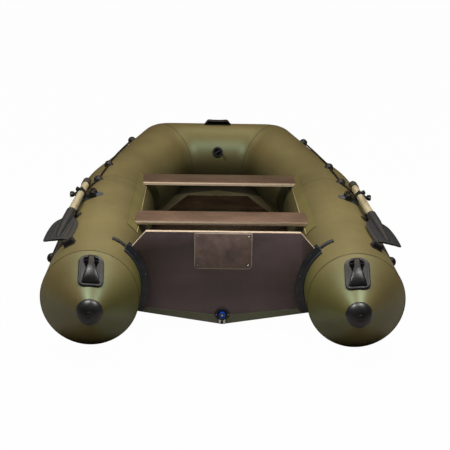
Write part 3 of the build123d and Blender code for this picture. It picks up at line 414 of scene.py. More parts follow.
def make_materials():
    return {
        "hull": hull_fabric(),
        "inner": bottom_fabric(),
        "band": coated_fabric("band_fabric", srgb(126, 130, 108), srgb(104, 108, 90), 0.5),
        "rail": coated_fabric("rail_fabric", srgb(120, 112, 66), srgb(100, 92, 52), 0.36),
        "lip": coated_fabric("rail_lip", srgb(206, 188, 146), srgb(160, 142, 100), 0.5),
        # A darker copy of the hull's olive: painted shade along the seams.
        "seam": coated_fabric("seam_shade_line", srgb(62, 56, 32), srgb(50, 44, 26), 0.5),
        "transom": film_faced_plywood("transom_plywood", srgb(110, 94, 98), srgb(94, 80, 84), "Y",
                                      0.0125, edge=0.66),
        "plate": worn_plate("plate_plywood"),
        "floor": film_faced_plywood("floor_plywood", srgb(52, 36, 25), srgb(34, 24, 17), "Z",
                                    0.004, 0.24),
        "seat": seat_plywood("seat_plywood"),
        # The front seat's film is a darker copy of the rear seat's: painted shade.
        "front_seat": seat_plywood("front_seat_plywood", 0.74),
        "aluminium": bare_metal("aluminium", srgb(200, 200, 198)),
        "steel": bare_metal("steel", srgb(206, 204, 200), 0.25),
        "shaft": oar_metal("oar_shaft"),
        "blade": moulded_plastic("blade_plastic", srgb(33, 35, 38), 0.5),
        "black": moulded_plastic("black_plastic", srgb(17, 17, 18), 0.4),
        "rubber": black_rubber("black_rubber", srgb(21, 19, 18), 0.5),
        # Black rubber with a bluish sheen painted into its colour.
        "pad": black_rubber("pad_rubber", srgb(62, 66, 74), 0.5),
        # Dark grey rubber, with a bluish tint painted in as its sheen.
        "holder": black_rubber("holder_rubber", srgb(40, 43, 50), 0.36),
        "grip": black_rubber("grip_rubber", srgb(40, 30, 22), 0.55),
        "handle": black_rubber("handle_rubber", srgb(32, 32, 35), 0.45, specular=0.4),
        "pull": black_rubber("pull_rubber", srgb(22, 22, 24), 0.36, specular=0.34),
        "cap": black_rubber("cap_rubber", srgb(32, 32, 34), 0.36),
        "dark": painted_recess_shade(),
        "pale_edge": coated_fabric("worn_edge", srgb(236, 222, 206), srgb(170, 150, 134), 0.6),
        "blade_edge": moulded_plastic("blade_edge", srgb(96, 96, 95), 0.5),
        "rope": rope_braid("rope"),
        "blue": moulded_plastic("blue_plastic", srgb(24, 78, 190), 0.25),
        "white": moulded_plastic("white_plastic", srgb(252, 252, 250), 0.3),
    }


# Mesh helpers ---------------------------------------------------------------

def add_object(name, vertices, faces, material, smooth_angle=38.0):
    mesh = bpy.data.meshes.new(name)
    mesh.from_pydata([tuple(vertex) for vertex in vertices], [], [tuple(face) for face in faces])
    mesh.validate()
    mesh.materials.append(material)
    piece = bpy.data.objects.new(name, mesh)
    bpy.context.scene.collection.objects.link(piece)
    shade(piece, smooth_angle)
    return piece


def shade(piece, angle=38.0):
    """Smooth shading that keeps edges sharper than the angle crisp."""
    mesh = piece.data
    mesh.polygons.foreach_set("use_smooth", [True] * len(mesh.polygons))
    mesh.set_sharp_from_angle(angle=radians(angle))
    mesh.update()


def grid_faces(rows, columns, closed=False):
    """Quads over a grid of rows x columns points, the columns joined round if closed."""
    faces = []
    last = columns if closed else columns - 1
    for row in range(rows - 1):
        for column in range(last):
            following = (column + 1) % columns
            low, high = row * columns, (row + 1) * columns
            faces.append((low + column, low + following, high + following, high + column))
    return faces


SHARP_ANGLE = 28.0


def rounded_copy(node, material, width):
    """A copy of a CAD node with its hard edges rounded, standing for the node."""
    source = NODES[node]
    bm = bmesh.new()
    bm.from_mesh(source.data)
    bmesh.ops.remove_doubles(bm, verts=bm.verts, dist=1e-5)
    bmesh.ops.dissolve_limit(bm, angle_limit=radians(1.5), verts=bm.verts, edges=bm.edges)
    sharp = [edge for edge in bm.edges
             if len(edge.link_faces) == 2 and edge.calc_face_angle(0) > radians(SHARP_ANGLE)]
    bmesh.ops.bevel(bm, geom=sharp, offset=width, segments=2, profile=0.5, affect="EDGES",
                    clamp_overlap=True)
    bmesh.ops.recalc_face_normals(bm, faces=bm.faces)
    mesh = bpy.data.meshes.new(node + "_finish")
    bm.to_mesh(mesh)
    bm.free()
    mesh.materials.append(material)
    piece = bpy.data.objects.new(mesh.name, mesh)
    bpy.context.scene.collection.objects.link(piece)
    shade(piece)
    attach(piece, source["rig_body"])
    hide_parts(node)
    return piece


def dress(node, material):
    """Gives a CAD node its material."""
    mesh = NODES[node].data
    mesh.materials.clear()
    mesh.materials.append(material)


def angles(count):
    """Evenly spaced angles round a circle."""
    return [2 * pi * index / count for index in range(count)]


def round_point(place, radius, angle, height):
    """A point round a place's Z."""
    return place @ Vector((radius * cos(angle), radius * sin(angle), height))


def lathe(profile, place, segments):
    """Vertices and faces of a profile of (radius, height) turned round a place's Z."""
    vertices = [round_point(place, radius, angle, height)
                for radius, height in profile for angle in angles(segments)]
    return vertices, grid_faces(len(profile), segments, closed=True)


def frame_at(origin, z_dir, x_hint=(1, 0, 0)):
    """A placement with its Z along z_dir and its X near x_hint."""
    z_axis = Vector(z_dir).normalized()
    x_axis = Vector(x_hint)
    x_axis = (x_axis - z_axis * x_axis.dot(z_axis)).normalized()
    y_axis = z_axis.cross(x_axis)
    turn = Matrix((x_axis, y_axis, z_axis)).transposed().to_4x4()
    return Matrix.Translation(Vector(origin)) @ turn


# Tubes ----------------------------------------------------------------------

AROUND = 96


def hull_centre_line():
    """Corners of the tubes' centre line, from the port seam round the bow."""
    half = [
        Vector((TUBE_X, SEAM_Y, TUBE_R)),
        Vector((TUBE_X, KNEE_Y, TUBE_R)),
        Vector((SHOULDER_X, SHOULDER_Y, SHOULDER_Z)),
        Vector((CORNER_X, BOW_Y, BOW_Z)),
    ]
    port = [Vector((-point.x, point.y, point.z)) for point in half]
    return port + list(reversed(half))


def mitred_lines(path):
    """Straight lines on the tubes' skin: for each corner, a ring of points."""
    runs = [(b - a).normalized() for a, b in zip(path, path[1:])]
    ring = [path[0] + TUBE_R * Vector((sin(angle), 0, cos(angle))) for angle in angles(AROUND)]
    rings = [ring]
    for run, following, centre in zip(runs, runs[1:] + runs[-1:], path[1:]):
        normal = (run + following).normalized()
        ring = [point + run * ((centre - point).dot(normal) / run.dot(normal)) for point in ring]
        rings.append(ring)
    return rings


def rounded_rings(rings, reach, steps):
    """Rings along the tubes, each corner eased over its reach."""
    rows, corner_rows = [], []
    for index, ring in enumerate(rings):
        if index in (0, len(rings) - 1):
            corner_rows.append(len(rows))
            rows.append([tuple(point) for point in ring])
            continue
        before, after = rings[index - 1], rings[index + 1]
        for step in range(steps + 1):
            share = step / steps
            row = []
            for back, here, ahead in zip(before, ring, after):
                start = here + (back - here).normalized() * reach[index]
                end = here + (ahead - here).normalized() * reach[index]
                middle = here * (2 * share * (1 - share))
                row.append(tuple(start * (1 - share) ** 2 + middle + end * share ** 2))
            if step == steps // 2:
                corner_rows.append(len(rows))
            rows.append(row)
    return rows, corner_rows


def fill_rows(rows, longest):
    """Adds rows between far ones, so that a long run has enough points for its shading."""
    filled, index_of = [rows[0]], {0: 0}
    for number, row in enumerate(rows[1:], 1):
        last = filled[-1]
        gap = max(dist(a, b) for a, b in zip(last, row))
        count = max(1, ceil(gap / longest))
        for step in range(1, count + 1):
            share = step / count
            filled.append([tuple(x + (y - x) * share for x, y in zip(a, b))
                           for a, b in zip(last, row)])
        index_of[number] = len(filled) - 1
    return filled, index_of


def make_tubes(materials):
    reach = [0, 0.13, 0.13, 0.075, 0.075, 0.13, 0.13, 0]
    rows, corners = rounded_rings(mitred_lines(hull_centre_line()), reach, 12)
    rows, index_of = fill_rows(rows, 0.06)
    port_bow, starboard_bow = index_of[corners[3]], index_of[corners[4]]
    spans = {
        "port_side_tube": (0, port_bow),
        "bow_tube": (port_bow, starboard_bow),
        "starboard_side_tube": (starboard_bow, len(rows) - 1),
    }
    for node, (first, last) in spans.items():
        part = rows[first:last + 1]
        vertices = [point for row in part for point in row]
        piece = add_object(node + "_skin", vertices, grid_faces(len(part), AROUND, closed=True),
                           materials["hull"], 60)
        place_piece(piece, "hull", "hull_fabric", node)
    for name, corner in (("port_bow_seam", port_bow), ("starboard_bow_seam", starboard_bow)):
        seam_shade_line(name, [Vector(point) for point in rows[corner]], materials["seam"])


def seam_shade_line(name, ring, material, width=0.0022):
    """The thin raised edge of an overlapped seam, round a tube; the dark material it is given
    paints the shade along the seam.
    """
    lift = 0.0004
    count = len(ring)
    centre = sum(ring, Vector()) / count
    ahead = (ring[1] - ring[0]).cross(ring[count // 4] - centre).normalized()
    vertices = []
    for offset, raise_by in ((-width, 0.0), (-width / 2, lift), (width / 2, lift), (width, 0.0)):
        for point in ring:
            out = (point - centre).normalized()
            vertices.append(point + ahead * offset + out * (raise_by + 0.0002))
    piece = add_object(name, vertices, grid_faces(4, count, closed=True), material)
    place_piece(piece, "hull", "hull_fabric")


def circle_ring(side, y):
    """Points round a straight side tube."""
    return [Vector((side * TUBE_X + TUBE_R * sin(angle), y, TUBE_R + TUBE_R * cos(angle)))
            for angle in angles(AROUND)]


def cone_centre(side, share):
    x = side * (TUBE_X - CONE_TIP_INSET * share)
    return Vector((x, SEAM_Y + (TIP_Y - SEAM_Y) * share, TUBE_R + CONE_TIP_RAISE * share))


def cone_radius(share):
    return TUBE_R + (CONE_TIP_R - TUBE_R) * share + 4 * CONE_BULGE * share * (1 - share)


def cone_point(side, share, angle, lift=0.0):
    """A point over the cone's skin, at an angle from straight up."""
    radius = cone_radius(share) + lift
    return cone_centre(side, share) + Vector((sin(angle), 0, cos(angle))) * radius


def make_cones(materials):
    rows = 34
    seam = materials["seam"]
    for name, side in SIDES.items():
        vertices = [cone_point(side, row / (rows - 1), angle)
                    for row in range(rows) for angle in angles(AROUND)]
        piece = add_object(name + "_cone_skin", vertices, grid_faces(rows, AROUND, closed=True),
                           materials["hull"], 60)
        face_out(piece, 60)
        place_piece(piece, "hull", "hull_fabric", name + "_stern_cone")
        seam_shade_line(name + "_cone_seam", circle_ring(side, SEAM_Y), seam, 0.0026)
        seam_shade_line(name + "_panel_seam", circle_ring(side, TRANSOM_Y + PANEL_SEAM), seam, 0.0014)


# Shapes for the fittings ------------------------------------------------------

def place_piece(piece, body, slot, *nodes):
    """A finished piece: what it rides on, its finish's slot (not used) and the CAD nodes it stands
    for.
    """
    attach(piece, body)
    if nodes:
        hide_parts(*nodes)
    return piece


def face_out(piece, angle, weld=None):
    """Turns all faces outward, after joining points closer than the weld."""
    bm = bmesh.new()
    bm.from_mesh(piece.data)
    if weld:
        bmesh.ops.remove_doubles(bm, verts=bm.verts, dist=weld)
    bmesh.ops.recalc_face_normals(bm, faces=bm.faces)
    bm.to_mesh(piece.data)
    bm.free()
    shade(piece, angle)


class Mould:
    """Collects several surfaces into one mesh, each with its own material."""

    def __init__(self):
        self.vertices, self.faces, self.indices, self.materials = [], [], [], []

    def add(self, vertices, faces, material):
        start = len(self.vertices)
        if material not in self.materials:
            self.materials.append(material)
        number = self.materials.index(material)
        self.vertices += [tuple(vertex) for vertex in vertices]
        self.faces += [tuple(start + index for index in face) for face in faces]
        self.indices += [number] * len(faces)

    def grid(self, rows, material, closed=False, capped=False):
        """Rows of points, joined into a skin."""
        count = len(rows[0])
        faces = grid_faces(len(rows), count, closed)
        if capped:
            faces.append(tuple(reversed(range(count))))
            faces.append(tuple((len(rows) - 1) * count + index for index in range(count)))
        self.add([point for row in rows for point in row], faces, material)

    def turned(self, profile, place, material, segments):
        vertices, faces = lathe(profile, place, segments)
        self.add(vertices, faces, material)

    def piece(self, name, angle=38.0):
        mesh = bpy.data.meshes.new(name)
        mesh.from_pydata(self.vertices, [], self.faces)
        for material in self.materials:
            mesh.materials.append(material)
        mesh.polygons.foreach_set("material_index", self.indices)
        made = bpy.data.objects.new(name, mesh)
        bpy.context.scene.collection.objects.link(made)
        face_out(made, angle, weld=1e-6)
        return made


def rounded_outline(half_x, half_y, radius, steps=8):
    """Points round a rectangle with rounded corners, starting at its right side."""
    points = []
    for corner, (sign_x, sign_y) in enumerate(((1, 1), (-1, 1), (-1, -1), (1, -1))):
        for step in range(steps + 1):
            angle = pi / 2 * (corner + step / steps)
            points.append((sign_x * (half_x - radius) + radius * cos(angle),
                           sign_y * (half_y - radius) + radius * sin(angle)))
    return points


def stack(mould, place, size, levels, material, steps=4):
    """A block of rounded rectangles over a place: its half sizes and corner, (growth, height)s."""
    rows = []
    for grow, height in levels:
        outline = rounded_outline(*(length + grow for length in size), steps)
        rows.append([place @ Vector((x, y, height)) for x, y in outline])
    mould.grid(rows, material, closed=True, capped=True)


def through(stops, share):
    """A smooth curve through (position, value) stops, without bumps between them."""
    if share <= stops[0][0]:
        return stops[0][1]
    if share >= stops[-1][0]:
        return stops[-1][1]
    slopes = [(high[1] - low[1]) / (high[0] - low[0]) for low, high in zip(stops, stops[1:])]
    tangents = [slopes[0]]
    for before, after in zip(slopes, slopes[1:]):
        tangents.append(0.0 if before * after <= 0 else 2 * before * after / (before + after))
    tangents.append(slopes[-1])
    for index, (low, high) in enumerate(zip(stops, stops[1:])):
        if share <= high[0]:
            span = high[0] - low[0]
            part = (share - low[0]) / span
            start = low[1] * (1 + 2 * part) + tangents[index] * span * part
            end = high[1] * (3 - 2 * part) - tangents[index + 1] * span * (1 - part)
            return start * (1 - part) ** 2 + end * part ** 2
    return stops[-1][1]


def outward(side, angle):
    """The direction off a side tube, at degrees outboard from up."""
    turn = radians(angle)
    return Vector((side * sin(turn), 0, cos(turn)))


def tube_point(side, y, angle, lift):
    """A point over the outer face of a side tube, at degrees outboard from its crown."""
    if y <= KNEE_Y:
        return Vector((side * TUBE_X, y, TUBE_R)) + outward(side, angle) * (TUBE_R + lift)
    start = Vector((side * TUBE_X, KNEE_Y, TUBE_R))
    end = Vector((side * SHOULDER_X, SHOULDER_Y, SHOULDER_Z))
    if y > SHOULDER_Y:
        start, end = end, Vector((side * CORNER_X, BOW_Y, BOW_Z))
    run = (end - start).normalized()
    centre = start + run * ((y - start.y) / run.y)
    up = (Vector((0, 0, 1)) - run * run.z).normalized()
    across = run.cross(up) * side
    turn = radians(angle)
    return centre + (up * cos(turn) + across * sin(turn)) * (TUBE_R + lift)


SCREW_PROFILE = [(0.0001, 0.0021), (0.0016, 0.00205), (0.003, 0.0015), (0.0038, 0.0006),
                 (0.004, -0.0003)]


def screw_head(mould, place, materials, size):
    """A pan head with a cross cut in it."""
    mould.turned([(radius * size, height * size) for radius, height in SCREW_PROFILE], place,
                 materials["steel"], 20)
    # The cross cut is drawn as two flat strips painted near-black as its shade.
    half_x, half_y, top = 0.0022 * size, 0.0004 * size, 0.00216 * size
    corners = [(-half_x, -half_y), (half_x, -half_y), (half_x, half_y), (-half_x, half_y)]
    for turn in (0, pi / 2):
        slot = place @ Matrix.Rotation(turn, 4, "Z")
        mould.add([slot @ Vector((x, y, top)) for x, y in corners], [(0, 1, 2, 3)],
                  materials["dark"])


# Stern fittings ---------------------------------------------------------------

HANDLE_TURN = 3.0
HANDLE_START, HANDLE_END = 0.15, 0.78
HANDLE_HALF = 0.049
HANDLE_CORNER_R = 0.038
# Across the rim from its outer foot: how far in, and how high.
HANDLE_RIM = [(0.0, 0.0002), (-0.0006, 0.003), (0.0004, 0.0068), (0.0028, 0.0088), (0.0062, 0.0092),
              (0.0088, 0.0078), (0.0102, 0.0058), (0.0118, 0.0054)]
WELL_DEPTH = 0.0048
WELL_BAR_AT, WELL_BAR_HALF, WELL_BAR_RISE = 0.175, 0.009, 0.0052
# Along the handle from its forward end: half widths and heights, in metres.
WELL_HALF = [(0.045, 0.024), (0.08, 0.031), (0.2, 0.0305), (0.34, 0.024), (0.5, 0.0185),
             (0.64, 0.0225), (0.8, 0.0325), (0.89, 0.0375), (0.945, 0.034)]
GRIP_HALF = [(0.04, 0.0145), (0.12, 0.0112), (0.3, 0.0096), (0.48, 0.0100), (0.6, 0.0136),
             (0.74, 0.0215), (0.86, 0.0298), (0.93, 0.0325)]
GRIP_TOP = [(0.04, 0.007), (0.1, 0.018), (0.2, 0.0285), (0.36, 0.0345), (0.56, 0.0365),
            (0.7, 0.0345), (0.8, 0.029), (0.88, 0.0205), (0.93, 0.009)]
GRIP_UNDER = [(0.04, 0.002), (0.12, 0.004), (0.2, 0.0185), (0.36, 0.0255), (0.56, 0.027),
              (0.68, 0.021), (0.78, 0.006), (0.93, 0.003)]
# Turned profiles, here and below, are (radius, height) pairs.
CAP_R, CAP_LIP, CAP_DOME = 0.0524, 0.0035, 0.039
CAP_NAVEL = [(0.0128, 0.0012), (0.012, -0.0002), (0.0106, -0.0002), (0.0098, 0.0014),
             (0.0064, 0.0022), (0.0001, 0.0024)]


def handle_point(side, across, share, lift):
    """A point over the cone: metres across the handle, share along it, metres off the cone."""
    along = HANDLE_START + (HANDLE_END - HANDLE_START) * share
    angle = -side * radians(HANDLE_TURN) + across / cone_radius(along)
    return cone_point(side, along, angle, lift)


def handle_floor(mould, side, half_length, materials):
    """The floor inside the rim, which drops into a well round the grip's feet; the well's deep
    faces are painted near-black as its shade.
    """
    inset, floor_lift = HANDLE_RIM[-1]
    half_x, half_y = HANDLE_HALF - inset, half_length - inset
    corner = HANDLE_CORNER_R - inset
    long_steps, wide_steps = 96, 56
    spots, sunk = [], []
    for row in range(long_steps + 1):
        y = half_y * (1 - 2 * row / long_steps)
        past = max(0.0, abs(y) - (half_y - corner))
        edge = half_x - corner + sqrt(max(0.0, corner ** 2 - past ** 2))
        share = 0.5 - y / (2 * half_length)
        well = through(WELL_HALF, share) if WELL_HALF[0][0] < share < WELL_HALF[-1][0] else 0.0
        bar = 1.0 if abs(share - WELL_BAR_AT) < WELL_BAR_HALF else 0.0
        for column in range(wide_steps + 1):
            x = edge * (2 * column / wide_steps - 1)
            depth = min(1.0, max(0.0, (well - abs(x)) / 0.002))
            lift = floor_lift - WELL_DEPTH * depth + WELL_BAR_RISE * depth * bar
            spots.append(handle_point(side, x, share, lift))
            sunk.append(depth > 0.4 and not bar)
    faces = grid_faces(long_steps + 1, wide_steps + 1)
    for deep, material in ((False, materials["handle"]), (True, materials["dark"])):
        mould.add(spots, [face for face in faces if all(sunk[index] for index in face) == deep],
                  material)


def handle_grip(mould, side, material):
    """A strap with raised edges that swells into a thumb at its after end."""
    rows, steps = [], 44
    for row in range(steps + 1):
        share = 0.04 + 0.89 * row / steps
        half, top, under = (through(stops, share) for stops in (GRIP_HALF, GRIP_TOP, GRIP_UNDER))
        strap = 1 - min(1.0, max(0.0, (share - 0.36) / 0.2))
        ring = []
        for angle in angles(24):
            wide, high = cos(angle), sin(angle)
            square = copysign(abs(wide) ** (0.75 - 0.35 * strap), wide)
            if high >= 0:
                # A channel runs down the strap and fades where the thumb starts.
                groove = 0.0026 * strap * max(0.0, 1 - (square / 0.6) ** 2)
                swell = 0.45 + 0.55 * high ** (0.45 + 0.2 * (1 - strap))
                height = under + (top - under) * swell - groove
            else:
                height = under + (top - under) * 0.45 * (1 - abs(high) ** 0.4)
            ring.append(handle_point(side, square * half, share, height))
        rows.append(ring)
    mould.grid(rows, material, closed=True, capped=True)


def make_stern_handles(materials):
    for name, side in SIDES.items():
        ends = [handle_point(side, 0, share, 0) for share in (0, 1)]
        half_length = (ends[1] - ends[0]).length / 2
        mould = Mould()
        rows = []
        for inset, lift in HANDLE_RIM:
            outline = rounded_outline(HANDLE_HALF - inset, half_length - inset,
                                      HANDLE_CORNER_R - inset)
            rows.append([handle_point(side, x, 0.5 - y / (2 * half_length), lift)
                         for x, y in outline])
        mould.grid(rows, materials["handle"], closed=True)
        handle_floor(mould, side, half_length, materials)
        handle_grip(mould, side, materials["pull"])
        place_piece(mould.piece(name + "_stern_handle_rubber", 50), "hull", "black_rubber",
                    name + "_stern_handle")


def make_cone_caps(materials):
    """Domed rubber caps with a small round navel."""
    profile = [(0.0522, -0.001), (0.0528, 0.001), (CAP_R, CAP_LIP)]
    steps = 24
    for step in range(1, steps + 1):
        turn = pi / 2 * step / steps
        radius = CAP_R * cos(turn)
        if radius > 0.0135:
            profile.append((radius, CAP_LIP + CAP_DOME * sin(turn) ** 1.3))
    crown = profile[-1][1]
    profile += [(radius, crown + height) for radius, height in CAP_NAVEL]
    for name, side in SIDES.items():
        mould = Mould()
        mould.turned(profile, frame_at(cone_centre(side, 1.0), (0, -1, 0)), materials["cap"], 96)
        place_piece(mould.piece(name + "_cone_cap_rubber", 50), "hull", "black_rubber",
                    name + "_cone_cap")


# Valves -----------------------------------------------------------------------

VALVE_FLANGE = [(0.031, -0.004), (0.031, 0.0035), (0.0298, 0.0052), (0.0265, 0.0058),
                (0.024, 0.005)]
VALVE_WELL = [(0.0195, 0.0125), (0.0188, 0.0105), (0.0183, 0.0098), (0.012, 0.0104),
              (0.0001, 0.0108)]
SIDE_VALVE_AHEAD = 0.21
# The tether of the bow valve's cap: metres across, down the tube and off it.
TETHER_POINTS = [(0.020, 0.006, 0.010), (0.030, 0.016, 0.009), (0.036, 0.034, 0.0022),
                 (0.048, 0.050, 0.0022), (0.050, 0.036, 0.0024), (0.038, 0.020, 0.0024),
                 (0.029, 0.012, 0.004)]


def toothed_ring(mould, place, inner, outer, low, high, teeth, material):
    """A flat ring whose rim has small grip notches."""
    rows = []
    for radius, height, notch in ((outer, low, 1), (outer, high - 0.001, 1),
                                  (outer - 0.001, high, 1), (inner, high, 0)):
        row = []
        for index, angle in enumerate(angles(teeth * 4)):
            size = radius - (0.0014 * notch if index % 4 in (0, 1) else 0.0)
            row.append(round_point(place, size, angle, height))
        rows.append(row)
    mould.grid(rows, material, closed=True)


def make_valve(name, node, origin, out, along, materials):
    """An inflation valve: flange on the tube, toothed ring, sunk cap with a grip bar."""
    place = frame_at(origin, out, along)
    mould = Mould()
    black = materials["black"]
    mould.turned(VALVE_FLANGE, place, black, 64)
    toothed_ring(mould, place, 0.0195, 0.0235, 0.004, 0.0125, 26, black)
    # The sunk well is painted near-black as its shade.
    mould.turned(VALVE_WELL, place, materials["dark"], 64)
    stack(mould, place, (0.0165, 0.0034, 0.0026),
          ((0.0, 0.0095), (0.0, 0.0142), (-0.0008, 0.0149)), black)
    place_piece(mould.piece(name), "hull", "black_plastic", node)


def thin_cord(name, points, radius, material, slot):
    """A short moulded strand that stays where it is."""
    curve = bpy.data.curves.new(name, "CURVE")
    curve.dimensions = "3D"
    curve.bevel_depth = radius
    curve.bevel_resolution = 3
    spline = curve.splines.new("NURBS")
    spline.points.add(len(points) - 1)
    for point, target in zip(spline.points, points):
        point.co = (*target, 1)
    spline.order_u = 3
    spline.use_endpoint_u = True
    curve.materials.append(material)
    piece = bpy.data.objects.new(name, curve)
    bpy.context.scene.collection.objects.link(piece)
    place_piece(piece, "hull", slot)


def make_valves(materials):
    bow_turn, side_turn = radians(20.0), radians(25.0)
    centre = Vector((0, BOW_Y, BOW_Z))
    out = Vector((0, -cos(bow_turn), sin(bow_turn)))
    make_valve("bow_valve_body", "bow_valve", centre + out * TUBE_R, out, (0.8, 0, 0.6), materials)
    strand = []
    for across, down, lift in TETHER_POINTS:
        turn = bow_turn - down / TUBE_R
        direction = Vector((0, -cos(turn), sin(turn)))
        strand.append(Vector((across, BOW_Y, BOW_Z)) + direction * (TUBE_R + lift))
    thin_cord("bow_valve_tether", strand, 0.0009, materials["black"], "black_plastic")
    for name, side in SIDES.items():
        out = Vector((-side * cos(side_turn), 0, sin(side_turn)))
        origin = Vector((side * TUBE_X, TRANSOM_Y + SIDE_VALVE_AHEAD, TUBE_R)) + out * TUBE_R
        make_valve(name + "_valve_body", name + "_valve", origin, out, (0, 1, 0.4), materials)


# Transom fittings ---------------------------------------------------------------

DRAIN_FLANGE = [(0.031, 0.0), (0.031, 0.0042), (0.0296, 0.006), (0.0205, 0.0064), (0.019, 0.0052),
                (0.017, 0.005)]
PLUG_CAP = [(0.0148, 0.005), (0.015, 0.0125), (0.0142, 0.0145), (0.0122, 0.015), (0.0112, 0.0138),
            (0.0092, 0.0128), (0.0058, 0.0132), (0.0042, 0.0146)]
PLATE_CORNER = 0.018


def make_drain(materials):
    """The drain's lobed flange, its blue plug and the ribbed tab below it."""
    low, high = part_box("drain_valve")
    centre = Vector(((low.x + high.x) / 2, high.y, (low.z + high.z) / 2))
    place = frame_at(centre, (0, -1, 0), (-1, 0, 0))
    black, dark, blue, white = (materials[key] for key in ("black", "dark", "blue", "white"))
    mould = Mould()
    rows = []
    for radius, height in DRAIN_FLANGE:
        row = []
        for angle in angles(96):
            size = radius * (1 - 0.09 * (1 - cos(4 * angle)) / 2 * (radius > 0.022))
            row.append(round_point(place, size, angle, height))
        rows.append(row)
    mould.grid(rows, black, closed=True)
    for turn in (0, pi / 2, pi):
        spot = Matrix.Translation((0.0252 * cos(turn), 0.0252 * sin(turn), 0.0062))
        screw_head(mould, place @ spot, materials, 0.75)
    # A near-black disc painted as the shade in the flange's opening.
    mould.turned([(0.0172, 0.0046), (0.0001, 0.0046)], place, dark, 48)
    place_piece(mould.piece("drain_valve_body"), "hull", "black_plastic", "drain_valve")
    plug = Mould()
    plug.turned(PLUG_CAP, place, blue, 64)
    plug.turned([(0.0042, 0.0144), (0.0038, 0.0152), (0.0001, 0.0154)], place, white, 32)
    place_piece(plug.piece("drain_plug_cap"), "hull", "blue_plastic", "drain_plug")
    # Two white ribs on a black tab, from the flange down to the bottom's edge.
    tab = Mould()
    bottom = low.z - 0.0095
    stack(tab, frame_at((0, TRANSOM_Y, bottom + 0.0125), (0, -1, 0)), (0.0165, 0.0125, 0.003),
          ((0.0, 0.0022), (0.0, 0.0046), (-0.0012, 0.0056)), dark)
    for middle in (-0.0096, 0.0096):
        stack(tab, frame_at((middle, TRANSOM_Y, bottom + 0.0102), (0, -1, 0)),
              (0.0047, 0.0112, 0.0018), ((0.0, 0.0052), (0.0, 0.0072), (-0.001, 0.0082)), white)
    place_piece(tab.piece("drain_tab"), "hull", "black_plastic")


def motor_plate(node, out, materials):
    """A plate on the board with a worn pale edge and a screw in each corner."""
    low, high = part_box(node)
    face_y, back_y = (low.y, high.y) if out < 0 else (high.y, low.y)
    half_x, half_z = (high.x - low.x) / 2, (high.z - low.z) / 2
    middle = Vector(((low.x + high.x) / 2, 0, (low.z + high.z) / 2))
    mould = Mould()
    rows = []
    for inset, y in ((0.0, back_y), (0.0, face_y - out * 0.0012), (0.0024, face_y)):
        ring = []
        for x, z in rounded_outline(half_x - inset, half_z - inset, PLATE_CORNER - inset):
            # The top corners are square.
            if z > half_z - 0.02:
                x = copysign(half_x - inset, x) if abs(x) > half_x - 0.019 else x
                z = half_z - inset
            ring.append(Vector((middle.x + x, y, middle.z + z)))
        rows.append(ring)
    mould.grid(rows, materials["pale_edge"], closed=True)
    mould.add(rows[-1], [tuple(range(len(rows[-1])))], materials["plate"])
    for x in (-1, 1):
        for z in (-1, 1):
            spot = (middle.x + x * (half_x - 0.014), face_y, middle.z + z * (half_z - 0.016))
            screw_head(mould, frame_at(spot, (0, out, 0)), materials, 0.9)
    place_piece(mould.piece(node + "_face"), "hull", "plate_plywood", node)


def make_transom(materials):
    """The plates for the motor, and the bolts through the holders' lips into the board."""
    motor_plate("outer_motor_plate", -1, materials)
    motor_plate("inner_motor_plate", 1, materials)
    bolts = Mould()
    radius = TUBE_R + 0.022
    for side in SIDES.values():
        for turn in (radians(angle) for angle in (38, 12, -14)):
            spot = (side * (TUBE_X - radius * cos(turn)), TRANSOM_Y - 0.0056,
                    TUBE_R + radius * sin(turn))
            screw_head(bolts, frame_at(spot, (0, -1, 0)), materials, 0.5)
    place_piece(bolts.piece("holder_bolts"), "hull", "aluminium")


# Guides, rope and bow handle ------------------------------------------------------

ROPE_LIFT = 0.0062
# The lifeline's route: metres ahead of the transom, degrees outboard of the crown.
ROPE_POINTS = [
    (2.060, 40.2), (2.035, 39.0), (1.940, 34.5), (1.840, 30.0), (1.737, 25.5), (1.650, 21.5),
    (1.560, 17.5), (1.480, 14.2), (1.450, 13.2), (1.420, 12.7), (1.390, 12.9), (1.340, 14.0),
    (1.245, 17.0), (1.160, 19.0), (1.130, 19.7), (1.100, 20.9), (1.070, 22.7), (1.035, 27.5),
    (0.980, 37.0), (0.925, 47.0), (0.875, 57.0), (0.830, 66.5), (0.785, 72.8), (0.740, 75.3),
    (0.700, 76.6), (0.640, 77.0), (0.215, 77.0), (0.195, 77.2),
]
GUIDE_POINTS = [1, 9, 15, 23, 26]
GUIDE_MOUTH = [(0.0088, -0.003), (0.0088, 0.001), (0.0074, 0.0022), (0.006, 0.0012)]
# The bow handle's strap: its rise from a foot to the middle, and its section (across, up).
STRAP_LINE = [(0.0, 0.06), (0.06, 0.3), (0.15, 0.72), (0.26, 0.97), (0.36, 1.0), (0.6, 0.93),
              (1.0, 0.9)]
STRAP_SECTION = [(-1, -0.5), (-1, 0.2), (-0.95, 0.5), (-0.8, 0.5), (-0.7, 0.32), (0, 0.26),
                 (0.7, 0.32), (0.8, 0.5), (0.95, 0.5), (1, 0.2), (1, -0.5), (0.9, -0.62),
                 (0, -0.62), (-0.9, -0.62)]


def guide_dome(mould, place, material):
    """A domed eye on an oval pad that follows the tube."""
    rings = 22
    rows = []
    for share in (1 - ring / rings for ring in range(rings + 1)):
        row = []
        for turn in angles(56):
            x, y = 0.030 * share * cos(turn), 0.0255 * share * sin(turn)
            bulge = (abs(x) / 0.0215) ** 2.4 + (abs(y) / 0.0225) ** 2.4
            dome = 0.0255 * max(0.0, 1 - bulge) ** 0.45
            pad = 0.0022 * min(1.0, (1 - share) / 0.08)
            row.append(place @ Vector((x, y, max(pad, dome) - 0.5 * (y * y) / TUBE_R)))
        rows.append(row)
    mould.grid(rows, material, closed=True)


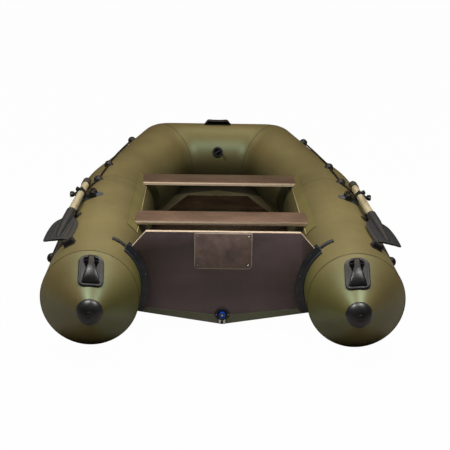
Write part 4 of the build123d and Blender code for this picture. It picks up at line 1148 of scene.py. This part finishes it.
def make_guides(materials):
    """Domed rubber eyes on oval pads, with the rope running through them."""
    rubber, dark = materials["rubber"], materials["dark"]
    for name, side in SIDES.items():
        route = [tube_point(side, TRANSOM_Y + ahead, angle, ROPE_LIFT)
                 for ahead, angle in ROPE_POINTS]
        mould = Mould()
        for index in GUIDE_POINTS:
            ahead, angle = ROPE_POINTS[index]
            foot, above = (tube_point(side, TRANSOM_Y + ahead, angle, lift) for lift in (0.0, 0.1))
            place = frame_at(foot, (above - foot).normalized(), route[index + 1] - route[index - 1])
            guide_dome(mould, place, rubber)
            for end in (-1, 1):
                mouth = frame_at(place @ Vector((end * 0.0205, 0, ROPE_LIFT)),
                                 place.to_3x3() @ Vector((end, 0, 0)))
                mould.turned(GUIDE_MOUTH, mouth, rubber, 20)
                # The mouth's bore is painted near-black as its shade.
                mould.turned([(0.006, 0.0012), (0.005, -0.002), (0.0001, -0.002)], mouth, dark, 20)
        place_piece(mould.piece(name + "_guide_domes", 45), "hull", "black_rubber",
                    name + "_rope_guides")


def tube_drop(across):
    """How far a tube's skin falls from its crown, some way across it."""
    return TUBE_R - sqrt(TUBE_R ** 2 - across ** 2)


def make_bow_handle(materials):
    """A moulded strap that stands on two feet over the bow, on a rounded pad."""
    rubber = materials["rubber"]
    mould = Mould()
    low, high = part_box("bow_handle")
    crown = BOW_Z + TUBE_R
    half_pad, half_along = (high.x - low.x) / 2, 0.031
    rows = []
    for inset, lift in ((0.0, 0.0), (0.0, 0.0022), (0.0014, 0.0032), (0.02, 0.0034),
                        (0.0285, 0.0034)):
        outline = rounded_outline(half_pad - inset, half_along - inset,
                                  0.014 - min(inset, 0.0125), 6)
        rows.append([Vector((x, BOW_Y + y, crown + lift - tube_drop(y))) for x, y in outline])
    mould.grid(rows, rubber, closed=True)
    mould.add(rows[-1], [tuple(range(len(rows[-1])))], rubber)
    top = high.z - crown
    half_strap, steps, thick = 0.075, 40, 0.0042
    rows = []
    for step in range(-steps, steps + 1):
        share = 1 - abs(step) / steps
        height = through(STRAP_LINE, share) * (top - 0.003) + 0.003
        x = copysign(half_strap * (1 - share), step)
        wide = 0.030 - 0.003 * sin(pi * min(1.0, share / 0.4) / 2)
        # The feet follow the tube; the strap between them is level across.
        follow = 1 - min(1.0, share / 0.25)
        rows.append([Vector((x, BOW_Y + across * wide, crown + height + (up - 0.5) * thick
                             - tube_drop(across * wide) * follow)) for across, up in STRAP_SECTION])
    mould.grid(rows, rubber, closed=True, capped=True)
    # A thin apron closes the strap's forward side.
    apron = []
    foot = crown - tube_drop(0.03) + 0.001
    for edge in (ring[9] for ring in rows[2:-2]):
        apron.append([edge, Vector((edge.x, edge.y + 0.0015, foot)),
                      Vector((edge.x, edge.y - 0.0015, foot)), edge - Vector((0, 0.003, 0))])
    mould.grid(apron, rubber, closed=True, capped=True)
    place_piece(mould.piece("bow_handle_strap", 45), "hull", "black_rubber", "bow_handle")


# Oars ---------------------------------------------------------------------------

LOCK_Y = TRANSOM_Y + 0.770
OAR_ANGLE, OAR_LIFT = 32.0, 0.038
SWIVEL_TILT, OAR_YAW = 39.0, 3.4
SHAFT_R = 0.0175
OAR_HANDLE = 0.200
FERRULE_FROM_LOCK, FERRULE_LENGTH, FERRULE_R = 0.308, 0.120, 0.022
BLADE_LENGTH, BLADE_HALF, BLADE_NECK = 0.292, 0.062, 0.7
BLADE_START = FERRULE_LENGTH * BLADE_NECK
BLADE_TIP = FERRULE_LENGTH + BLADE_LENGTH
BLADE_TWIST = {-1: 6.0, 1: 13.5}
BLADE_CAMBER = 0.0035
BLADE_RIBS = (0.48, 0.78)
BLADE_STEPS = 72
BLADE_OUTLINE = [(0.0, 0.34), (0.06, 0.5), (0.14, 0.74), (0.24, 0.89), (0.38, 0.97), (0.6, 1.0),
                 (0.85, 0.97), (0.955, 0.93), (0.985, 0.88), (1.0, 0.8)]


def oar_place(side, ahead, tilt):
    """A placement on the stowed shaft: Y to the handle, Z at a tilt outboard of up."""
    centre = tube_point(side, LOCK_Y, OAR_ANGLE, OAR_LIFT)
    turn = Matrix.Rotation(radians(side * OAR_YAW), 4, outward(side, SWIVEL_TILT))
    up, along = outward(side, tilt), Vector((0, 1, 0))
    across = along.cross(up)
    axes = Matrix((across, along, up)).transposed().to_4x4()
    return Matrix.Translation(centre) @ turn @ axes @ Matrix.Translation((0, ahead, 0))


def blade_point(place, share, wide, height, bend=1.0):
    """A point of the blade: share along it, wide -1 to 1 across it, height off its middle."""
    half = BLADE_HALF * through(BLADE_OUTLINE, share)
    y = -(BLADE_START + (BLADE_TIP - BLADE_START) * share)
    return place @ Vector((wide * half, y, height - BLADE_CAMBER * wide * wide * bend))


def blade_face(mould, place, face, materials):
    """One side of the plate, with two ribs and, beside them, short flat strips painted near-black
    as the shade of grooves.
    """
    rows = []
    for share in (row / BLADE_STEPS for row in range(BLADE_STEPS + 1)):
        fade = min(1.0, share / 0.2) * min(1.0, (1 - share) / 0.12)
        end = 0.0007 * exp(-((1 - share) / 0.02) ** 2)
        points = []
        for wide in (2 * column / 48 - 1 for column in range(49)):
            thick = 0.0021 * (1 - abs(wide) ** 8 * 0.75)
            rib = fade * sum(0.0011 * exp(-((abs(wide) - at) / 0.035) ** 2) for at in BLADE_RIBS)
            points.append(blade_point(place, share, wide, face * (thick + rib + end),
                                      min(1.0, share / 0.3)))
        rows.append(points)
    mould.grid(rows, materials["blade"])
    for at in (-0.63, 0.63):
        for share in (0.24 + dash * 0.094 for dash in range(7)):
            mould.add([blade_point(place, share + run, at + shift, face * 0.00235)
                       for run, shift in ((0.0, -0.011), (0.0, 0.011), (0.055, 0.011),
                                          (0.055, -0.011))], [(0, 1, 2, 3)], materials["dark"])


def make_blade(name, side, materials):
    """A ferrule, a tapering spine and a thin ribbed plate with a pale edge."""
    mould = Mould()
    place = oar_place(side, -FERRULE_FROM_LOCK, BLADE_TWIST[side])
    for face in (1, -1):
        blade_face(mould, place, face, materials)
    shares = [step / BLADE_STEPS for step in range(BLADE_STEPS + 1)]
    round_trip = [(-1, share) for share in shares] + [(1, 1 - share) for share in shares]
    mould.grid([[blade_point(place, share, wide, height, min(1.0, share / 0.3))
                 for wide, share in round_trip] for height in (0.0006, -0.0006)],
               materials["blade_edge"], closed=True)
    profile = [(SHAFT_R + 0.0003, 0.0), (FERRULE_R - 0.0012, 0.0), (FERRULE_R, 0.0014),
               (FERRULE_R, 0.0085), (FERRULE_R - 0.0016, 0.0098), (FERRULE_R - 0.0016, 0.0125),
               (FERRULE_R, 0.0138), (FERRULE_R, FERRULE_LENGTH)]
    for share in (step / 30 for step in range(31)):
        profile.append((FERRULE_R * (1 - share) ** 0.8 * 0.95 + 0.0065 * share + 0.001,
                        FERRULE_LENGTH + (BLADE_LENGTH - 0.034) * share))
    profile.append((0.0001, BLADE_TIP - 0.028))
    mould.turned(profile, place @ Matrix.Rotation(pi / 2, 4, "X"), materials["blade"], 40)
    place_piece(mould.piece(name + "_blade_moulding", 40), name + "_oar", "blade_plastic",
                name + "_oar_blade")


def make_oars(materials):
    # The grip is a ribbed rubber bulb on the shaft's end.
    profile = [(0.0178, -0.0605), (0.0206, -0.0598), (0.0208, -0.057)]
    for base in (-0.054 + rib * 0.0072 for rib in range(7)):
        profile += [(0.0192, base), (0.0192, base + 0.0022), (0.0206, base + 0.0032),
                    (0.0207, base + 0.0054)]
    profile += [(0.0207, 0.001), (0.0206, 0.005), (0.0196, 0.0105), (0.017, 0.0152),
                (0.0125, 0.0186), (0.0065, 0.0202), (0.0001, 0.0206)]
    for name, side in SIDES.items():
        mould = Mould()
        place = oar_place(side, OAR_HANDLE, SWIVEL_TILT) @ Matrix.Rotation(-pi / 2, 4, "X")
        mould.turned(profile, place, materials["grip"], 40)
        place_piece(mould.piece(name + "_grip_bulb", 50), name + "_oar", "grip_rubber",
                    name + "_oar_grip")
        make_blade(name, side, materials)


# Oarlocks and clips -------------------------------------------------------------

PIN_ANGLE, PIN_LIFT = 19.0, 0.015
LUG_END = 0.0425
PAD_THICKNESS = 0.0035
COLLAR_HALF, COLLAR_CORNER = 0.020, 0.007
CLIP_Y = TRANSOM_Y + 0.481
REST_Y, REST_ANGLE, REST_HEIGHT = TRANSOM_Y - 0.015, 28.0, 0.0215
BOSS = [(0.0144, -0.0098), (0.0144, 0.0012), (0.0132, 0.0028), (0.0108, 0.003), (0.0098, 0.0014),
        (0.0074, 0.0012), (0.0068, 0.0034), (0.0042, 0.0036), (0.0038, 0.0008), (0.0001, 0.0006)]
KNOB = [(0.0118, 0.0165), (0.0124, 0.0205), (0.0122, 0.0245), (0.0094, 0.0275), (0.009, 0.032),
        (0.0118, 0.0352), (0.0134, 0.0385), (0.0134, 0.0485), (0.012, 0.0518), (0.008, 0.0528),
        (0.0001, 0.0532)]
KNOB_DROP = 0.006
HOUSING_ANGLE, HOUSING_HALF, HOUSING_HEIGHT = 20.0, 0.021, 0.0225
RAIL_EDGE_ANGLE = -(90 - 37.0)
CLAW_SECTION = [(-0.8, 0), (-1, 0.2), (-1, 0.75), (-0.7, 1), (0.7, 1), (1, 0.75), (1, 0.2),
                (0.8, 0)]


def block(mould, place, half_x, half_y, high, corner, material, soften=0.003):
    """A moulded block standing on a place, its top edge rounded."""
    stack(mould, place, (half_x, half_y, corner),
          ((0.0, -0.003), (0.0, high - soften), (-0.3 * soften, high - 0.3 * soften),
           (-soften, high)), material, 5)


def lock_bosses(name, side, material):
    """The hinge pin's bosses and housings, on the pad's two lugs."""
    mould = Mould()
    for end in (-1, 1):
        pin = tube_point(side, LOCK_Y + end * LUG_END, PIN_ANGLE, PIN_LIFT)
        mould.turned(BOSS, frame_at(pin, (0, end, 0)), material, 48)
        middle = tube_point(side, LOCK_Y + end * (LUG_END - 0.0121), HOUSING_ANGLE, 0)
        housing = frame_at(middle, outward(side, HOUSING_ANGLE), (0, 1, 0))
        block(mould, housing, 0.0118, HOUSING_HALF, HOUSING_HEIGHT, 0.009, material, 0.007)
    place_piece(mould.piece(name + "_lock_bosses", 40), "hull", "black_plastic")


def collar_block(name, side, material):
    """A square collar with rounded corners on the shaft, and its lobed clamp knob."""
    mould = Mould()
    place = oar_place(side, 0, SWIVEL_TILT)
    rows = []
    for y, inset in ((-0.019, None), (-0.019, 0.002), (-0.017, 0.0), (0.017, 0.0),
                     (0.019, 0.002), (0.019, None)):
        half = COLLAR_HALF - (inset or 0)
        outline = rounded_outline(half, half, COLLAR_CORNER, 6)
        if inset is None:
            bore = SHAFT_R + 0.0003
            outline = [(x * (bore / hypot(x, z)), z * (bore / hypot(x, z))) for x, z in outline]
        rows.append([place @ Vector((x, y, z)) for x, z in outline])
    mould.grid(rows, material, closed=True)
    knob = frame_at(place.translation - Vector((0, 0, KNOB_DROP)), (side, 0, 0), (0, 1, 0))
    rows = []
    for radius, height in KNOB:
        lobes = 0.0012 if radius > 0.0105 else 0.0
        rows.append([round_point(knob, radius + lobes * cos(6 * turn), turn, height)
                     for turn in angles(60)])
    mould.grid(rows, material, closed=True)
    place_piece(mould.piece(name + "_collar_block", 40), name + "_oar", "black_plastic",
                name + "_oar_collar")


def make_locks(materials):
    for name, side in SIDES.items():
        lock_bosses(name, side, materials["black"])
        collar_block(name, side, materials["black"])
        # The pad is paler and bluer than the lugs that stand on it: black rubber with its bluish
        # sheen painted into the colour.
        base = rounded_copy(name + "_oarlock_base", materials["rubber"], 0.0012)
        two_tone(base, side, materials["pad"], PAD_THICKNESS + 0.002)


def two_tone(piece, side, material, height):
    """Gives the faces close to the tube a second material."""
    piece.data.materials.append(material)
    for face in piece.data.polygons:
        centre = face.center
        if hypot(centre.x - side * TUBE_X, centre.z - TUBE_R) - TUBE_R < height:
            face.material_index = 1


def make_rail_lips(materials):
    """A pale strip along each rail's edge."""
    for name, side in SIDES.items():
        low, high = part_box(name + "_seat_rail")
        rows = []
        for step in range(41):
            y = low.y + 0.004 + (high.y - low.y - 0.008) * step / 40
            rows.append([tube_point(side, y, RAIL_EDGE_ANGLE + degrees(0.0012 * cos(turn) / TUBE_R),
                                    0.0035 + 0.0011 * sin(turn)) for turn in angles(8)])
        mould = Mould()
        mould.grid(rows, materials["lip"], closed=True, capped=True)
        place_piece(mould.piece(name + "_rail_lip", 60), "hull", "rail_fabric")


def make_clips(materials):
    """Chunky claws inboard of the stowed shafts, and the moulded rests astern of the blades."""
    rubber = materials["rubber"]
    ahead = (CLIP_Y - LOCK_Y) / cos(radians(OAR_YAW))
    for name, side in SIDES.items():
        mould = Mould()
        place = oar_place(side, ahead, SWIVEL_TILT)
        rows = []
        for share in (step / 26 for step in range(27)):
            turn = radians(62 * share - 6)
            thick = 0.0068 + 0.0062 * exp(-((share - 0.9) / 0.16) ** 2)
            half = 0.0135 - 0.003 * share
            ring = []
            for along, out in CLAW_SECTION:
                radius = SHAFT_R + 0.0016 + thick * out
                ring.append(place @ Vector((-side * radius * sin(turn), along * half,
                                            -radius * cos(turn))))
            rows.append(ring)
        mould.grid(rows, rubber, closed=True, capped=True)
        rest = frame_at(tube_point(side, REST_Y, REST_ANGLE, 0), outward(side, REST_ANGLE),
                        (0, 1, 0))
        block(mould, rest, 0.0165, 0.025, REST_HEIGHT, 0.007, rubber)
        for end in (-1, 1):
            ear = rest @ Matrix.Translation((0, end * 0.0175, REST_HEIGHT - 0.004))
            block(mould, ear, 0.0145, 0.0062, 0.0075, 0.004, rubber, 0.002)
        place_piece(mould.piece(name + "_clip_claws", 40), "hull", "black_rubber")
        rounded_copy(name + "_oar_clips", rubber, 0.0012)


# Dress the plain nodes --------------------------------------------------------

def dress_nodes(materials):
    plain = {
        "bottom_skin": "inner", "keel_tube": "hull", "floor_profiles": "aluminium",
        "transom_bottom_band": "band", "towing_eye": "rubber",
    }
    for name in SIDES:
        plain[name + "_oar_shaft"] = "shaft"
        plain[name + "_lifeline"] = "rope"
        plain[name + "_seat_rail"] = "rail"
    for node, material in plain.items():
        dress(node, materials[material])
    for node in ("aft_floor_board", "middle_floor_board", "fore_floor_board", "bow_floor_board"):
        rounded_copy(node, materials["floor"], 0.0012)
    rounded_copy("rear_seat", materials["seat"], 0.0015)
    rounded_copy("front_seat", materials["front_seat"], 0.0015)
    rounded_copy("transom_board", materials["transom"], 0.0015)
    for name in SIDES:
        rounded_copy(name + "_oarlock_bracket", materials["black"], 0.0012)
        rounded_copy(name + "_transom_holder", materials["holder"], 0.0016)


# Studio ---------------------------------------------------------------------

def area_light(name, place, target, size, power, colour):
    data = bpy.data.lights.new(name, "AREA")
    data.shape = "RECTANGLE"
    data.size, data.size_y = size
    data.energy = power
    data.color = colour
    lamp = bpy.data.objects.new(name, data)
    bpy.context.scene.collection.objects.link(lamp)
    lamp.location = place
    lamp.rotation_euler = (Vector(target) - Vector(place)).to_track_quat("-Z", "Y").to_euler()


def make_room():
    """A dim warm surround that shows as white behind the boat."""
    world = bpy.data.worlds.new("studio")
    bpy.context.scene.world = world
    world.use_nodes = True
    tree = world.node_tree
    light_path = tree.nodes.new("ShaderNodeLightPath")
    seen = tree.nodes.new("ShaderNodeMath")
    seen.operation = "MAXIMUM"
    tree.links.new(light_path.outputs["Is Camera Ray"], seen.inputs[0])
    tree.links.new(light_path.outputs["Is Transmission Ray"], seen.inputs[1])
    tint = tree.nodes.new("ShaderNodeMix")
    tint.data_type = "RGBA"
    tint.inputs[6].default_value = (0.075, 0.066, 0.056, 1)
    tint.inputs[7].default_value = (1, 1, 1, 1)
    tree.links.new(seen.outputs[0], tint.inputs[0])
    tree.links.new(tint.outputs[2], tree.nodes["Background"].inputs["Color"])


def make_floor():
    """A pale floor that fades into the surround."""
    mesh = bpy.data.meshes.new("studio_floor")
    reach = 40.0
    mesh.from_pydata([(-reach, -reach, 0), (reach, -reach, 0), (reach, reach, 0),
                      (-reach, reach, 0)], [], [(0, 1, 2, 3)])
    floor = bpy.data.objects.new("studio_floor", mesh)
    bpy.context.scene.collection.objects.link(floor)
    floor.location.z = -0.001
    shader = Shader("studio_floor")
    shader.finish((0.33, 0.315, 0.29), 0.9, specular=0.2)
    glow = shader.node("ShaderNodeEmission")
    glow.inputs["Color"].default_value = (1, 1, 1, 1)
    camera_ray = shader.node("ShaderNodeLightPath").outputs["Is Camera Ray"]
    blend = shader.node("ShaderNodeMixShader")
    shader.link(shader.maths("MULTIPLY", camera_ray, 0.985), blend.inputs[0])
    shader.link(shader.bsdf.outputs[0], blend.inputs[1])
    shader.link(glow.outputs[0], blend.inputs[2])
    shader.link(blend.outputs[0], shader.tree.nodes["Material Output"].inputs["Surface"])
    mesh.materials.append(shader.material)


def make_studio():
    """Two clear soft boxes over the stern and a broad warm light over the bow."""
    bpy.context.scene.view_settings.view_transform = "Standard"
    make_room()
    make_floor()
    clear, warm = (1.0, 0.99, 0.95), (1.0, 0.8, 0.58)
    area_light("soft_box_port", (-1.15, -1.0, 3.0), (-0.5, -1.0, 0), (0.6, 1.2), 68, clear)
    area_light("soft_box_starboard", (1.15, -1.0, 3.0), (0.5, -1.0, 0), (0.6, 1.2), 64, clear)
    area_light("bow_fill", (0, 2.2, 3.2), (0, 0.6, 0), (3.0, 1.2), 30, warm)


# Build ----------------------------------------------------------------------

make_camera()
MATERIALS = make_materials()
for make in (make_tubes, make_cones, make_stern_handles, make_cone_caps, make_valves, make_drain,
             make_transom, make_guides, make_bow_handle, make_oars, make_locks, make_clips,
             make_rail_lips, dress_nodes):
    make(MATERIALS)
make_studio()
